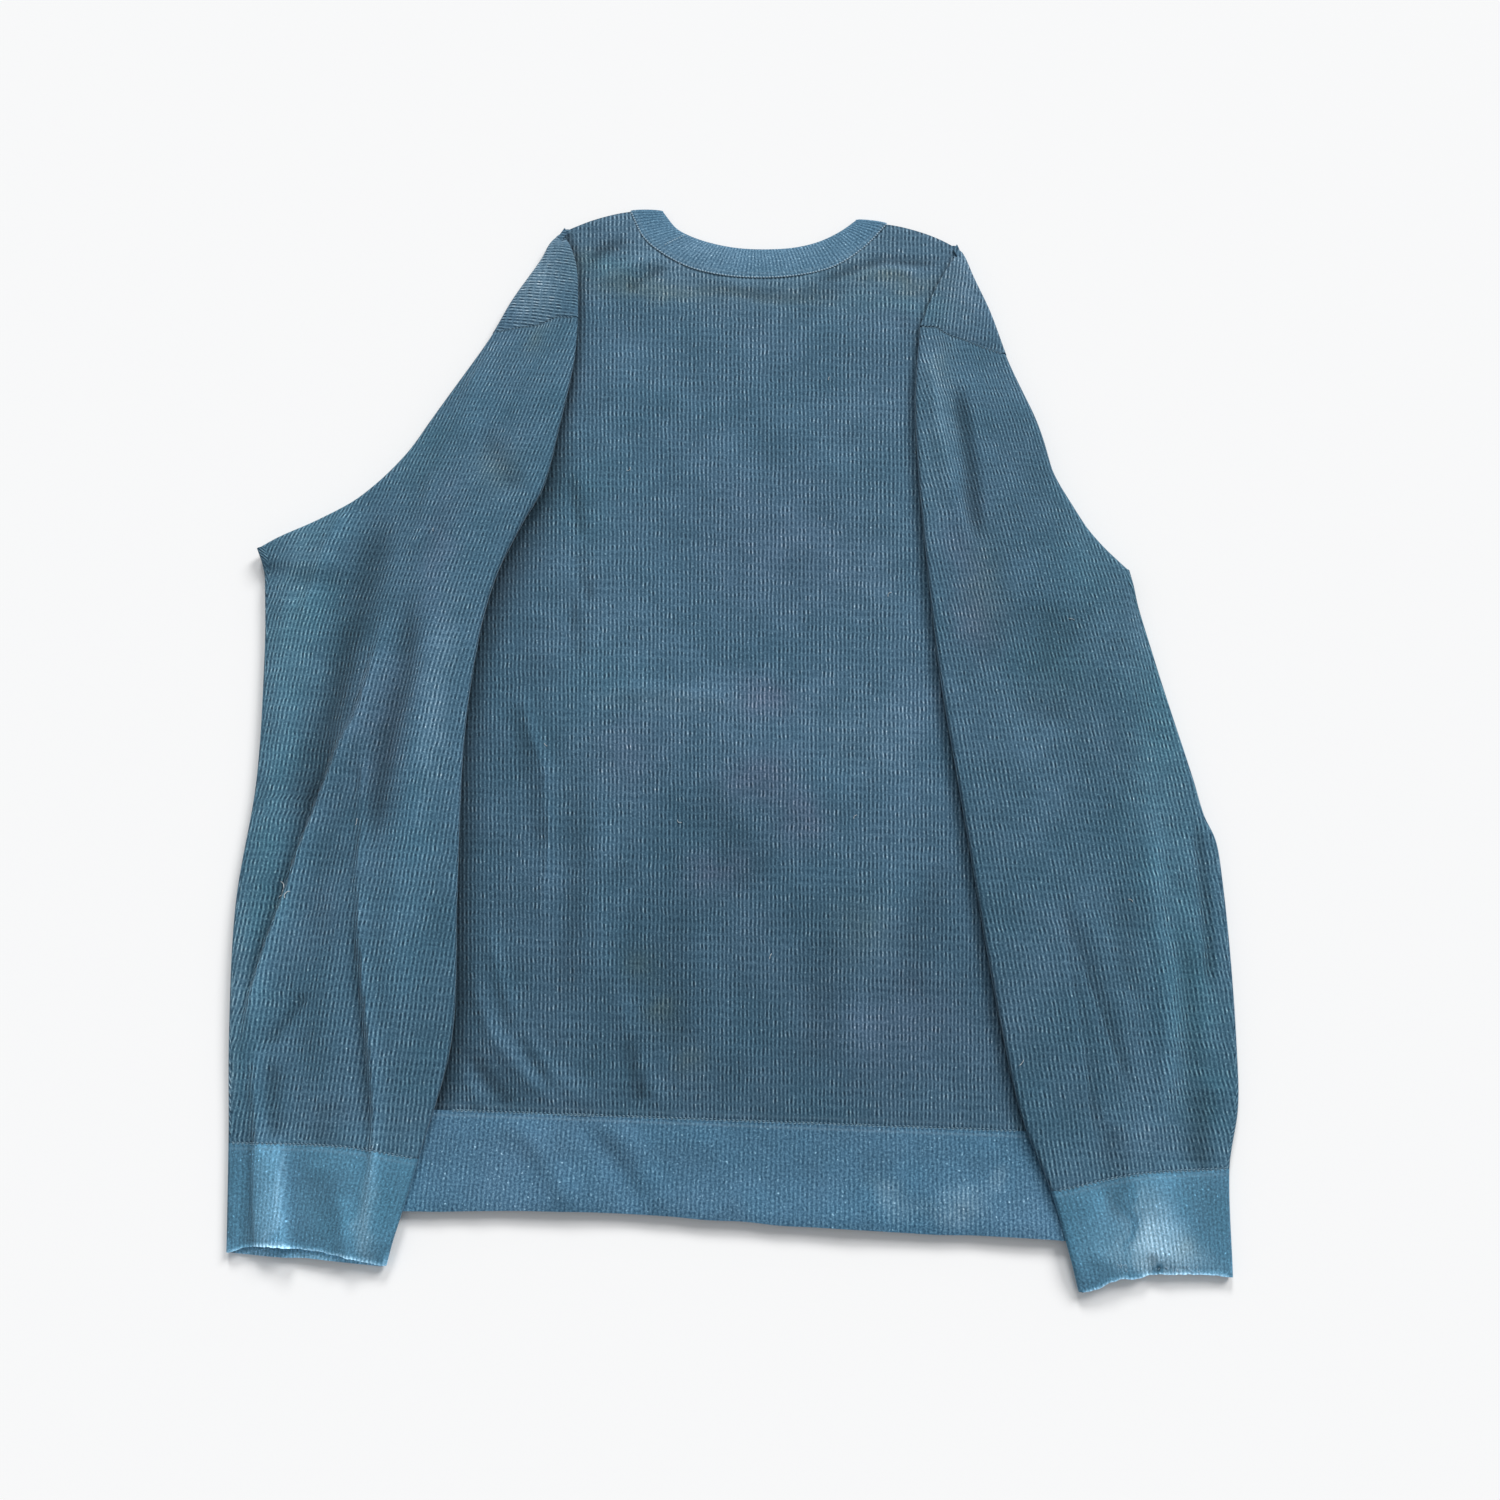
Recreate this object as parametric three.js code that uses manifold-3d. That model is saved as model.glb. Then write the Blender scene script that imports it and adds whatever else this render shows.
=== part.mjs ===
import * as THREE from 'three';
import Module from 'manifold-3d';

const wasm = await Module();
wasm.setup();

// A crew-neck pullover laid face down with both sleeves turned back over the body.
// Millimetres, +Z up, the neck towards +Y, resting on z = 0.

// cloth and its layers
const CLOTH = 1.6;               // knitted wall
const AIR = 0.4;                 // space between layers that lie on each other
const SEAM = 0.35;               // space between pieces at a seam
const ARM_GAP = 1.3;               // the same at the hidden, curved part of the armhole
const STEP = CLOTH + AIR;        // height of one layer
const TURN = STEP + CLOTH;       // height of two layers
const STACK = 2 * STEP + TURN;   // height of four layers
const EDGE = 6;                  // how far a layer stays up past the edge it lies over
const ARC = 4;                   // facets round a turned edge

// body
const HEM_TOP = -290;
const HEM_END = -349;
const HEM_SIDE = { left: -212, right: 238 };
const UNDERARM = { left: [-240, 66], right: [266, 66] };

// a smooth curve through stations [y, x], read as x at y
function through(stations) {
  const p = [...stations].sort((a, b) => a[0] - b[0]);
  const n = p.length;
  const slope = p.map((_, i) => {
    const a = p[Math.max(0, i - 1)];
    const b = p[Math.min(n - 1, i + 1)];
    return (b[1] - a[1]) / (b[0] - a[0]);
  });
  return (y) => {
    let i = 0;
    while (i < n - 2 && y > p[i + 1][0]) i += 1;
    const h = p[i + 1][0] - p[i][0];
    const t = (y - p[i][0]) / h;
    if (t < 0) return p[i][1] + slope[i] * (y - p[i][0]);
    if (t > 1) return p[i + 1][1] + slope[i + 1] * (y - p[i + 1][0]);
    const s = t * t * (3 - 2 * t);
    const a = t * (1 - t) * (1 - t) * h;
    const b = t * t * (t - 1) * h;
    return p[i][1] * (1 - s) + p[i + 1][1] * s + a * slope[i] + b * slope[i + 1];
  };
}

// the same with straight runs between its stations
function chain(stations) {
  return (y) => {
    let i = 0;
    while (i < stations.length - 2 && y < stations[i + 1][0]) i += 1;
    const [a, b] = [stations[i], stations[i + 1]];
    return a[1] + ((b[1] - a[1]) * (y - a[0])) / (b[0] - a[0]);
  };
}

// each side of the garment: the line the shoulder and sleeve are folded on, the edges
// of the turned-back sleeve, its armhole and its cuff
const LEFT = {
  out: -1,
  point: [-135, 352],            // top of the fold, on the shoulder
  seamOut: [-177, 257],          // where the armhole seam meets the fold
  seamIn: [-116, 273],           // top of the armhole seam
  tip: [-321, 75],               // where the fold leaves the underarm seam
  underarm: UNDERARM.left,
  fold: through([[352, -135], [325, -147], [288, -166], [257, -178], [218, -196], [183, -213],
    [150, -230], [117, -257], [98, -284], [85, -307], [75, -321]]),
  outer: through([[75, -321], [64, -316], [45, -312], [0, -305], [-90, -296], [-170, -296],
    [-250, -287], [-313, -277], [-374, -268]]),
  inner: through([[273, -116], [233, -116], [178, -122], [130, -129], [101, -141], [60, -155],
    [14, -162], [-60, -164], [-164, -157], [-249, -151], [-318, -163], [-376, -175]]),
  flap: through([[273, -116], [320, -121], [352, -133]]),
  armhole: chain([[257, -170], [210, -170.5], [160, -175], [110, -190], [84, -211], [66, -240]]),
  cuffSeam: [[0, -318], [0.4, -313], [1, -313]],
  cuffUpper: [[0, -375], [0.4, -370], [0.75, -372], [1, -372]],
  cuffLower: [[0, -375], [0.4, -374], [0.75, -376], [1, -373]],
};
const RIGHT = {
  out: 1,
  point: [168, 347],
  seamOut: [198, 250],
  seamIn: [135, 274],
  tip: [276, 79],
  underarm: UNDERARM.right,
  fold: through([[347, 168], [325, 174], [290, 187], [250, 198], [231, 202], [198, 216],
    [166, 226], [134, 240], [104, 257], [79, 276]]),
  outer: through([[79, 276], [44, 283], [-13, 295], [-68, 308], [-120, 319], [-172, 321],
    [-240, 320], [-307, 312], [-364, 308]]),
  inner: through([[274, 135], [212, 131], [147, 133], [69, 139], [-4, 146], [-67, 155],
    [-127, 164], [-183, 172], [-238, 181], [-284, 191], [-323, 206], [-376, 220]]),
  flap: through([[274, 135], [308, 147], [347, 166]]),
  armhole: chain([[257, 190.5], [210, 191.5], [160, 196], [110, 213], [84, 238], [66, 266]]),
  cuffSeam: [[0, -323], [0.5, -312], [1, -307]],
  cuffUpper: [[0, -376], [0.4, -366], [0.7, -363], [1, -363]],
  cuffLower: [[0, -376], [0.4, -369], [0.7, -365], [1, -364]],
};

// side seams of the body, hem to underarm
LEFT.side = through([[HEM_TOP, HEM_SIDE.left], [-100, -227], [66, -240]]);
RIGHT.side = through([[HEM_TOP, HEM_SIDE.right], [-100, 254], [66, 266]]);

// main folds of the cloth: a crest line, its height and its half width
const CRESTS = {
  left: [
    { line: [[-235, 118], [-243, 46], [-246, -78], [-267, -228], [-276, -270]], high: 2.6, wide: 13 },
    { line: [[-184, 90], [-184, -30], [-189, -152]], high: 1.6, wide: 20 },
    { line: [[-218, -110], [-214, -178], [-192, -290]], high: 1.6, wide: 14 },
    { line: [[-262, 72], [-283, -34]], high: 1.4, wide: 12 },
  ],
  right: [
    { line: [[168, 213], [186, 100], [200, 10]], high: 1.8, wide: 16 },
    { line: [[262, 20], [289, -96], [299, -180], [275, -290]], high: 2.0, wide: 14 },
    { line: [[225, -150], [242, -290]], high: 1.4, wide: 16 },
  ],
  back: [
    { line: [[-135, -170], [-105, -236], [-84, -275]], high: 1.6, wide: 18 },
    { line: [[-60, 300], [-95, 262], [-100, 200]], high: 1.2, wide: 20 },
    { line: [[60, 300], [100, 262], [112, 190]], high: 1.2, wide: 20 },
    { line: [[-40, -190], [-26, -275]], high: 1.0, wide: 20 },
  ],
};

const mix = (a, b, t) => a + (b - a) * t;
const clamp = (v, a, b) => Math.min(b, Math.max(a, v));
const smooth = (a, b, v) => {
  const t = clamp((v - a) / (b - a), 0, 1);
  return t * t * (3 - 2 * t);
};

// distance to a crest line, with a soft end
function crestHeight(list, x, y) {
  let sum = 0;
  for (const { line, high, wide } of list) {
    let near = Infinity;
    for (let i = 0; i + 1 < line.length; i += 1) {
      const [ax, ay] = line[i];
      const [bx, by] = line[i + 1];
      const dx = bx - ax;
      const dy = by - ay;
      const t = clamp(((x - ax) * dx + (y - ay) * dy) / (dx * dx + dy * dy), 0, 1);
      near = Math.min(near, Math.hypot(x - ax - t * dx, y - ay - t * dy));
    }
    sum += high * Math.exp(-((near / wide) ** 2));
  }
  return Math.min(sum, 3);
}

// height of the surface a turned-back sleeve lies on: two layers of body, then the floor
function rise(x, y) {
  const dx = Math.max(0, LEFT.side(y) - x, x - RIGHT.side(y));
  let off = Math.hypot(y > 66 ? 0 : dx, Math.max(0, HEM_END - 6 - y));
  for (const s of [LEFT, RIGHT]) {
    if (x * s.out < s.underarm[0] * s.out - 30) continue;
    const t = clamp((x - s.underarm[0]) / (s.tip[0] - s.underarm[0]), 0, 1);
    const below = mix(s.underarm[1], s.tip[1], t) - y;
    const past = Math.max(0, (x - s.tip[0]) * s.out);
    off = Math.min(off, Math.hypot(past, Math.max(0, below)));
  }
  return 2 * STEP * (1 - smooth(EDGE, EDGE + 24, off));
}

// ---- closed bodies from points ----

function body(points, faces) {
  let volume = 0;
  for (const [a, b, c] of faces) {
    const [p, q, r] = [points[a], points[b], points[c]];
    volume += p[0] * (q[1] * r[2] - q[2] * r[1]) - p[1] * (q[0] * r[2] - q[2] * r[0])
      + p[2] * (q[0] * r[1] - q[1] * r[0]);
  }
  const index = volume < 0 ? faces.map(([a, b, c]) => [a, c, b]) : faces;
  return { points, faces: index };
}

// a panel: a grid of places with a floor and a roof height at each
function panel(columns, rows, place, low, high) {
  const points = [];
  const faces = [];
  const w = columns + 1;
  for (const level of [low, high]) {
    for (let j = 0; j <= rows; j += 1) {
      for (let i = 0; i <= columns; i += 1) {
        const [x, y] = place(i, j);
        points.push([x, y, level(x, y)]);
      }
    }
  }
  const roof = w * (rows + 1);
  const quad = (a, b, c, d) => faces.push([a, b, c], [a, c, d]);
  for (let j = 0; j < rows; j += 1) {
    for (let i = 0; i < columns; i += 1) {
      const k = j * w + i;
      quad(k, k + w, k + w + 1, k + 1);
      quad(roof + k, roof + k + 1, roof + k + w + 1, roof + k + w);
    }
  }
  for (let i = 0; i < columns; i += 1) {
    const t = rows * w + i;
    quad(i, i + 1, roof + i + 1, roof + i);
    quad(t + 1, t, roof + t, roof + t + 1);
  }
  for (let j = 0; j < rows; j += 1) {
    const a = j * w;
    const b = a + columns;
    quad(a + w, a, roof + a, roof + a + w);
    quad(b, b + w, roof + b + w, roof + b);
  }
  return body(points, faces);
}

// a wall along a path: every section has its outside and inside points in step;
// the path is a ring, or open with a face at each end
function wall(sections, ring) {
  const points = [];
  const faces = [];
  const n = sections[0].outside.length;
  const last = sections.length - 1;
  for (const s of sections) points.push(...s.outside, ...s.inside);
  const out = (j, i) => j * 2 * n + (i % n);
  const inn = (j, i) => out(j, i) + n;
  const quad = (a, b, c, d) => faces.push([a, b, c], [a, c, d]);
  const spans = ring ? n : n - 1;
  for (let i = 0; i < spans; i += 1) {
    for (let j = 0; j < last; j += 1) {
      quad(out(j, i), out(j, i + 1), out(j + 1, i + 1), out(j + 1, i));
      quad(inn(j, i), inn(j + 1, i), inn(j + 1, i + 1), inn(j, i + 1));
    }
    quad(out(0, i + 1), out(0, i), inn(0, i), inn(0, i + 1));
    quad(out(last, i), out(last, i + 1), inn(last, i + 1), inn(last, i));
  }
  if (!ring) {
    for (let j = 0; j < last; j += 1) {
      quad(out(j, 0), out(j + 1, 0), inn(j + 1, 0), inn(j, 0));
      quad(out(j + 1, n - 1), out(j, n - 1), inn(j, n - 1), inn(j + 1, n - 1));
    }
  }
  return body(points, faces);
}

function fused(...parts) {
  const solids = parts.map(({ points, faces }) => new wasm.Manifold(new wasm.Mesh({
    numProp: 3,
    vertProperties: new Float32Array(points.flat()),
    triVerts: new Uint32Array(faces.flat()),
  })));
  let whole = solids[0];
  for (const s of solids.slice(1)) whole = whole.add(s);
  const mesh = whole.getMesh();
  const points = [];
  const faces = [];
  for (let i = 0; i < mesh.vertProperties.length; i += mesh.numProp) {
    points.push([...mesh.vertProperties.slice(i, i + 3)]);
  }
  for (let i = 0; i < mesh.triVerts.length; i += 3) {
    faces.push([...mesh.triVerts.slice(i, i + 3)]);
  }
  return { points, faces };
}

// ---- body panels ----

// neck seam and opening edge of the neckband, wearer's left to right, in pairs
const BACK_NECK = {
  seam: [[-84, 373], [-73, 350], [-60, 337], [-36, 323], [-8, 316.5], [24, 316], [50, 320],
    [72, 328], [93, 345], [111, 368]],
  edge: [[-60, 374], [-49, 359], [-38, 352], [-22, 346], [-2, 342], [20, 341.5], [42, 344],
    [60, 350], [76, 360], [88, 371]],
};
const FRONT_NECK = {
  seam: [[-84, 373], [-85, 348], [-77, 318], [-56, 288], [-24, 267], [13, 260], [50, 266],
    [83, 286], [104, 314], [112, 345], [111, 368]],
  edge: [[-60, 374], [-61, 352], [-55, 328], [-40, 307], [-16, 291], [13, 285], [42, 290],
    [66, 304], [81, 324], [88, 348], [88, 371]],
};

function line(points) {
  const curve = new THREE.CatmullRomCurve3(
    points.map(([x, y]) => new THREE.Vector3(x, y, 0)), false, 'centripetal');
  return (t, shift = 0) => {
    const p = curve.getPoint(t);
    const d = curve.getTangent(t);
    return [p.x + d.y * shift, p.y - d.x * shift];
  };
}

const NECK_COLUMNS = 12;
const SHOULDER_COLUMNS = 3;
const COLUMNS = NECK_COLUMNS + 2 * SHOULDER_COLUMNS;
const TOP_LEVELS = [66, 84, 110, 160, 210, 257, 290, 346];
const FRONT_LEVELS = [HEM_TOP + SEAM, -200, -100, 0, ...TOP_LEVELS];
const BACK_LEVELS = [HEM_TOP + SEAM, -270, -242, -210, -170, -120, -60, 0, ...TOP_LEVELS];

// how far the middle of a turned edge lies in from its outline, for a turn of this radius
function inset(edge, y, radius) {
  const slope = (edge(y + 1) - edge(y - 1)) / 2;
  return radius * Math.min(2, Math.hypot(1, slope));
}

// the armhole seam where it shows, a line from the sleeve's inner edge to the fold
function seamLine(s, x) {
  const t = (x - s.seamIn[0]) / (s.seamOut[0] - s.seamIn[0]);
  return mix(s.seamIn[1], s.seamOut[1], t);
}

function foldCentre(s, y) {
  return s.fold(y) - s.out * inset(s.fold, y, STACK / 2);
}

// outline of a body panel: side seam, armhole, then the fold
function bodyEdge(s, y, gap) {
  if (y >= s.seamOut[1]) return foldCentre(s, y) - s.out * 3;
  const edge = y <= 66 ? s.side(y) : s.armhole(y);
  return edge - s.out * gap;
}

function bodyPlace(neck, levels) {
  const seam = line(neck.seam);
  const top = [];
  const ends = [LEFT, RIGHT].map((s) => [bodyEdge(s, 346, SEAM), 346]);
  const foot = [seam(0, SEAM), seam(1, SEAM)];
  foot[0][0] -= 0.2;
  foot[1][0] += 0.2;
  for (let i = 0; i < SHOULDER_COLUMNS; i += 1) {
    const t = i / SHOULDER_COLUMNS;
    top.push([mix(ends[0][0], foot[0][0], t), mix(ends[0][1], foot[0][1], t ** 0.9)]);
  }
  top.push(foot[0]);
  for (let i = 1; i < NECK_COLUMNS; i += 1) top.push(seam(i / NECK_COLUMNS, SEAM));
  top.push(foot[1]);
  for (let i = 1; i <= SHOULDER_COLUMNS; i += 1) {
    const t = i / SHOULDER_COLUMNS;
    top.push([mix(foot[1][0], ends[1][0], t), mix(foot[1][1], ends[1][1], t ** 1.1)]);
  }
  const width = ends[1][0] - ends[0][0];
  return (i, j) => {
    const y = levels[j];
    const v = (y - levels[0]) / (levels[levels.length - 1] - levels[0]);
    const s = (top[i][0] - ends[0][0]) / width;
    const u = mix(s, i / COLUMNS, 0.35 * (1 - v) ** 0.5);
    const x = mix(bodyEdge(LEFT, y, SEAM), bodyEdge(RIGHT, y, SEAM), u);
    return [x, y + (top[i][1] - 346) * v ** 3];
  };
}

// relief of the back shows only between the sleeves
function backRelief(x, y) {
  const left = y > 273 ? LEFT.flap(y) : LEFT.inner(y);
  const right = y > 273 ? RIGHT.flap(y) : RIGHT.inner(y);
  const free = smooth(3, 26, Math.min(x - left, right - x));
  const ends = smooth(0, 20, y - HEM_TOP);
  return free * ends * crestHeight(CRESTS.back, x, y);
}

// points round a half turn from the lower layer over to the upper one
function halfTurn(x, y, middle, rx, rz, out) {
  const points = [];
  for (let i = 1; i < ARC; i += 1) {
    const a = -Math.PI / 2 + (Math.PI * i) / ARC;
    points.push([x + out * rx * Math.cos(a), y, middle + rz * Math.sin(a)]);
  }
  return points;
}

// the shoulder corner that is turned over with the sleeve, hooked round the fold
function corner(s, deep) {
  const reach = deep ? TURN / 2 : STACK / 2;
  const middle = STACK / 2;
  const sections = [];
  for (let j = 0; j <= 4; j += 1) {
    const outside = [];
    const inside = [];
    const t = j / 4;
    const base = foldCentre(s, s.seamOut[1]);
    const yAt = (u) => {
      const start = seamLine(s, mix(s.seamIn[0], base, u)) + SEAM / 2;
      return mix(start, 346, t);
    };
    const y = yAt(1);
    const c = foldCentre(s, y);
    const k = inset(s.fold, y, 1);
    for (const u of [8, 0]) {
      outside.push([c - s.out * u, y, middle - reach]);
      inside.push([c - s.out * u, y, middle - reach + CLOTH]);
    }
    outside.push(...halfTurn(c, y, middle, reach * k, reach, s.out));
    inside.push(...halfTurn(c, y, middle, (reach - CLOTH) * k, reach - CLOTH, s.out));
    for (let i = 0; i <= 3; i += 1) {
      const u = 1 - i / 3;
      const yy = yAt(u);
      const far = s.flap(yy);
      const x = mix((far - c) * s.out > -2 ? c - s.out * 2 : far, c, u);
      outside.push([x, yy, middle + reach]);
      inside.push([x, yy, middle + reach - CLOTH]);
    }
    sections.push({ outside, inside });
  }
  return wall(sections, false);
}

// ---- sleeves ----

function stations(list) {
  const curve = through(list);
  return (u) => curve(u);
}

// fractions across a sleeve: even over the body, then closer where it drops off its edge
const OVER = [0, 0.33, 0.67, 1];
const PAST = [0.16, 0.34, 0.6, 1];

function across(s, y, from, to) {
  const inner = from;
  const outer = to;
  const edge = y <= 66 ? s.side(y) : s.armhole(y);
  const t = clamp((edge + s.out * EDGE - inner) / (outer - inner), 0.35, 0.86);
  return [...OVER.map((f) => f * t), ...PAST.map((f) => mix(t, 1, f))];
}

function sleeve(s, crests) {
  const top = [s.seamIn[0] + s.out * TURN / 2, foldCentre(s, s.seamOut[1])];
  const seam = (u) => seamLine(s, mix(top[0], top[1], u)) - SEAM / 2;
  const cuff = stations(s.cuffSeam);
  const end = (u) => cuff(u) + SEAM * 0.6;
  const reach = seam(1) - end(1);
  const tipAt = (seam(1) - s.tip[1]) / reach;
  const below = [10, 20, 34, 60, 100, 145, 190, 235, 280, 325].map((d) => tipAt + d / reach);
  // rows of the turned-back head end on the stations of the armhole
  const slant = s.tip[1] - s.underarm[1];
  const rows = [0];
  for (const y of [232, 210, 185, 160, 135, 110, 84]) {
    let v = 0;
    for (let k = 0; k < 30; k += 1) v = (seam(1) - y - slant * (v / tipAt) ** 2) / reach;
    rows.push(v);
  }
  rows.push(tipAt);
  const ringRows = [rows[rows.length - 1], ...below.filter((v) => v < 0.96), 1];
  const relief = (x, y, u, v) => {
    const edges = smooth(0, 0.12, u) * smooth(0, 0.1, 1 - u);
    return edges * smooth(0, 0.08, v) * smooth(0, 0.06, 1 - v) * crestHeight(crests, x, y);
  };

  // upper and lower runs of the flattened tube, from its inner edge to the turn
  const runs = (v, outX, inX) => {
    const yMid = mix(seam(1), end(1), v);
    const place = (u) => {
      const y = mix(seam(u), end(u), v);
      return [mix(inX(y), outX(y), u), y];
    };
    const us = across(s, yMid, inX(yMid), outX(yMid));
    return { us, place };
  };

  const section = (v, tail) => {
    const outside = [];
    const inside = [];
    const outEdge = tail ? s.fold : s.outer;
    const radius = tail ? STACK / 2 : TURN / 2;
    const outX = (y) => outEdge(Math.max(y, tail ? s.tip[1] : -400)) - s.out * inset(outEdge, y, radius);
    const inX = (y) => s.inner(y) + s.out * TURN / 2;
    const { us, place } = runs(v, outX, inX);
    const yOut = mix(seam(1), end(1), v);
    const c = outX(yOut);
    const k = inset(outEdge, yOut, 1);
    const fall = Math.min(1, v / tipAt);
    const tailRun = [];
    if (tail) {
      const drop = slant * fall ** 2;
      const yEnd = yOut - drop;
      const hole = s.armhole(yEnd) + s.out * ARM_GAP;
      const xEnd = (c - hole) * s.out > 1 ? hole : c - s.out * 1;
      for (let i = 0; i < 4; i += 1) {
        const t = i / 4;
        tailRun.push([mix(xEnd, c, t), mix(yEnd, yOut, t)]);
      }
      for (const [x, y] of tailRun) {
        outside.push([x, y, 0]);
        inside.push([x, y, CLOTH]);
      }
      outside.push([c, yOut, 0]);
      inside.push([c, yOut, CLOTH]);
      outside.push(...halfTurn(c, yOut, STACK / 2, k * STACK / 2, STACK / 2, s.out));
      const r = STACK / 2 - CLOTH;
      inside.push(...halfTurn(c, yOut, STACK / 2, k * r, r, s.out));
    }
    // upper run, fold to inner edge
    for (let i = us.length - 1; i >= 0; i -= 1) {
      const [x, y] = place(us[i]);
      const z = rise(x, y) + relief(x, y, us[i], v);
      outside.push([x, y, z + TURN]);
      inside.push([x, y, z + STEP]);
    }
    const [xi, yi] = place(0);
    const zi = rise(xi, yi) + TURN / 2;
    outside.push(...halfTurn(xi, yi, zi, TURN / 2, TURN / 2, -s.out).reverse());
    inside.push(...halfTurn(xi, yi, zi, AIR / 2, AIR / 2, -s.out).reverse());
    // lower run, inner edge to fold
    for (const u of us) {
      const [x, y] = place(u);
      const z = rise(x, y);
      outside.push([x, y, z]);
      inside.push([x, y, z + CLOTH]);
    }
    if (tail) {
      outside.push(...halfTurn(c, yOut, STACK / 2, k * AIR / 2, AIR / 2, s.out).reverse());
      inside.push(...halfTurn(c, yOut, STACK / 2, k * TURN / 2, TURN / 2, s.out).reverse());
      outside.push([c, yOut, TURN]);
      inside.push([c, yOut, STEP]);
      for (const [x, y] of [...tailRun].reverse()) {
        outside.push([x, y, TURN]);
        inside.push([x, y, STEP]);
      }
    } else {
      const zo = rise(c, yOut) + TURN / 2;
      outside.push(...halfTurn(c, yOut, zo, k * TURN / 2, TURN / 2, s.out));
      inside.push(...halfTurn(c, yOut, zo, k * AIR / 2, AIR / 2, s.out));
    }
    return { outside, inside };
  };

  const head = wall(rows.map((v) => section(v, true)), false);
  const tube = wall(ringRows.map((v) => section(v, false)), true);
  return fused(head, tube);
}

// ---- ribbed bands ----

function cuff(s) {
  const seam = stations(s.cuffSeam);
  const upper = stations(s.cuffUpper);
  const lower = stations(s.cuffLower);
  const sections = [];
  for (const v of [0, 0.3, 0.64, 0.76, 0.88, 1]) {
    const outside = [];
    const inside = [];
    const place = (u, end) => {
      const y = mix(seam(u) - SEAM / 2, end(u), v);
      const a = s.inner(y) + s.out * TURN / 2;
      const b = s.outer(y) - s.out * TURN / 2;
      return [mix(a, b, u), y];
    };
    const y = mix(-315, -370, v);
    const edge = HEM_SIDE[s.out < 0 ? 'left' : 'right'];
    const t = clamp((edge + s.out * EDGE - s.inner(y)) / (s.outer(y) - s.inner(y)), 0.2, 0.6);
    const us = [0, t / 2, t, ...[0.2, 0.45, 0.7, 1].map((f) => mix(t, 1, f))];
    const mouth = (u) => 1.8 * smooth(0.6, 1, v) * Math.sin(Math.PI * u) ** 2;
    for (const u of [...us].reverse()) {
      const [x, yy] = place(u, upper);
      const z = rise(x, yy) + mouth(u);
      outside.push([x, yy, z + TURN]);
      inside.push([x, yy, z + STEP]);
    }
    const [xi, yi] = place(0, upper);
    const zi = rise(xi, yi) + TURN / 2;
    outside.push(...halfTurn(xi, yi, zi, TURN / 2, TURN / 2, -s.out).reverse());
    inside.push(...halfTurn(xi, yi, zi, AIR / 2, AIR / 2, -s.out).reverse());
    for (const u of us) {
      const [x, yy] = place(u, lower);
      const z = rise(x, yy);
      outside.push([x, yy, z]);
      inside.push([x, yy, z + CLOTH]);
    }
    const [xo, yo] = place(1, upper);
    const zo = rise(xo, yo) + TURN / 2;
    outside.push(...halfTurn(xo, yo, zo, TURN / 2, TURN / 2, s.out));
    inside.push(...halfTurn(xo, yo, zo, AIR / 2, AIR / 2, s.out));
    sections.push({ outside, inside });
  }
  return wall(sections, true);
}

function hemBand() {
  const sections = [];
  const count = 12;
  const a = HEM_SIDE.left + TURN / 2;
  const b = HEM_SIDE.right - TURN / 2;
  for (const y of [HEM_TOP, -310, -330, HEM_END]) {
    const outside = [];
    const inside = [];
    const dip = (x) => (y === HEM_TOP ? 0 : 1.5 * Math.sin((x - 13) / 70));
    for (let i = count; i >= 0; i -= 1) {
      const x = mix(a, b, i / count);
      outside.push([x, y + dip(x), TURN]);
      inside.push([x, y + dip(x), STEP]);
    }
    outside.push(...halfTurn(a, y, TURN / 2, TURN / 2, TURN / 2, -1).reverse());
    inside.push(...halfTurn(a, y, TURN / 2, AIR / 2, AIR / 2, -1).reverse());
    for (let i = 0; i <= count; i += 1) {
      const x = mix(a, b, i / count);
      outside.push([x, y + dip(x), 0]);
      inside.push([x, y + dip(x), CLOTH]);
    }
    outside.push(...halfTurn(b, y, TURN / 2, TURN / 2, TURN / 2, 1));
    inside.push(...halfTurn(b, y, TURN / 2, AIR / 2, AIR / 2, 1));
    sections.push({ outside, inside });
  }
  return wall(sections, true);
}

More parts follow.
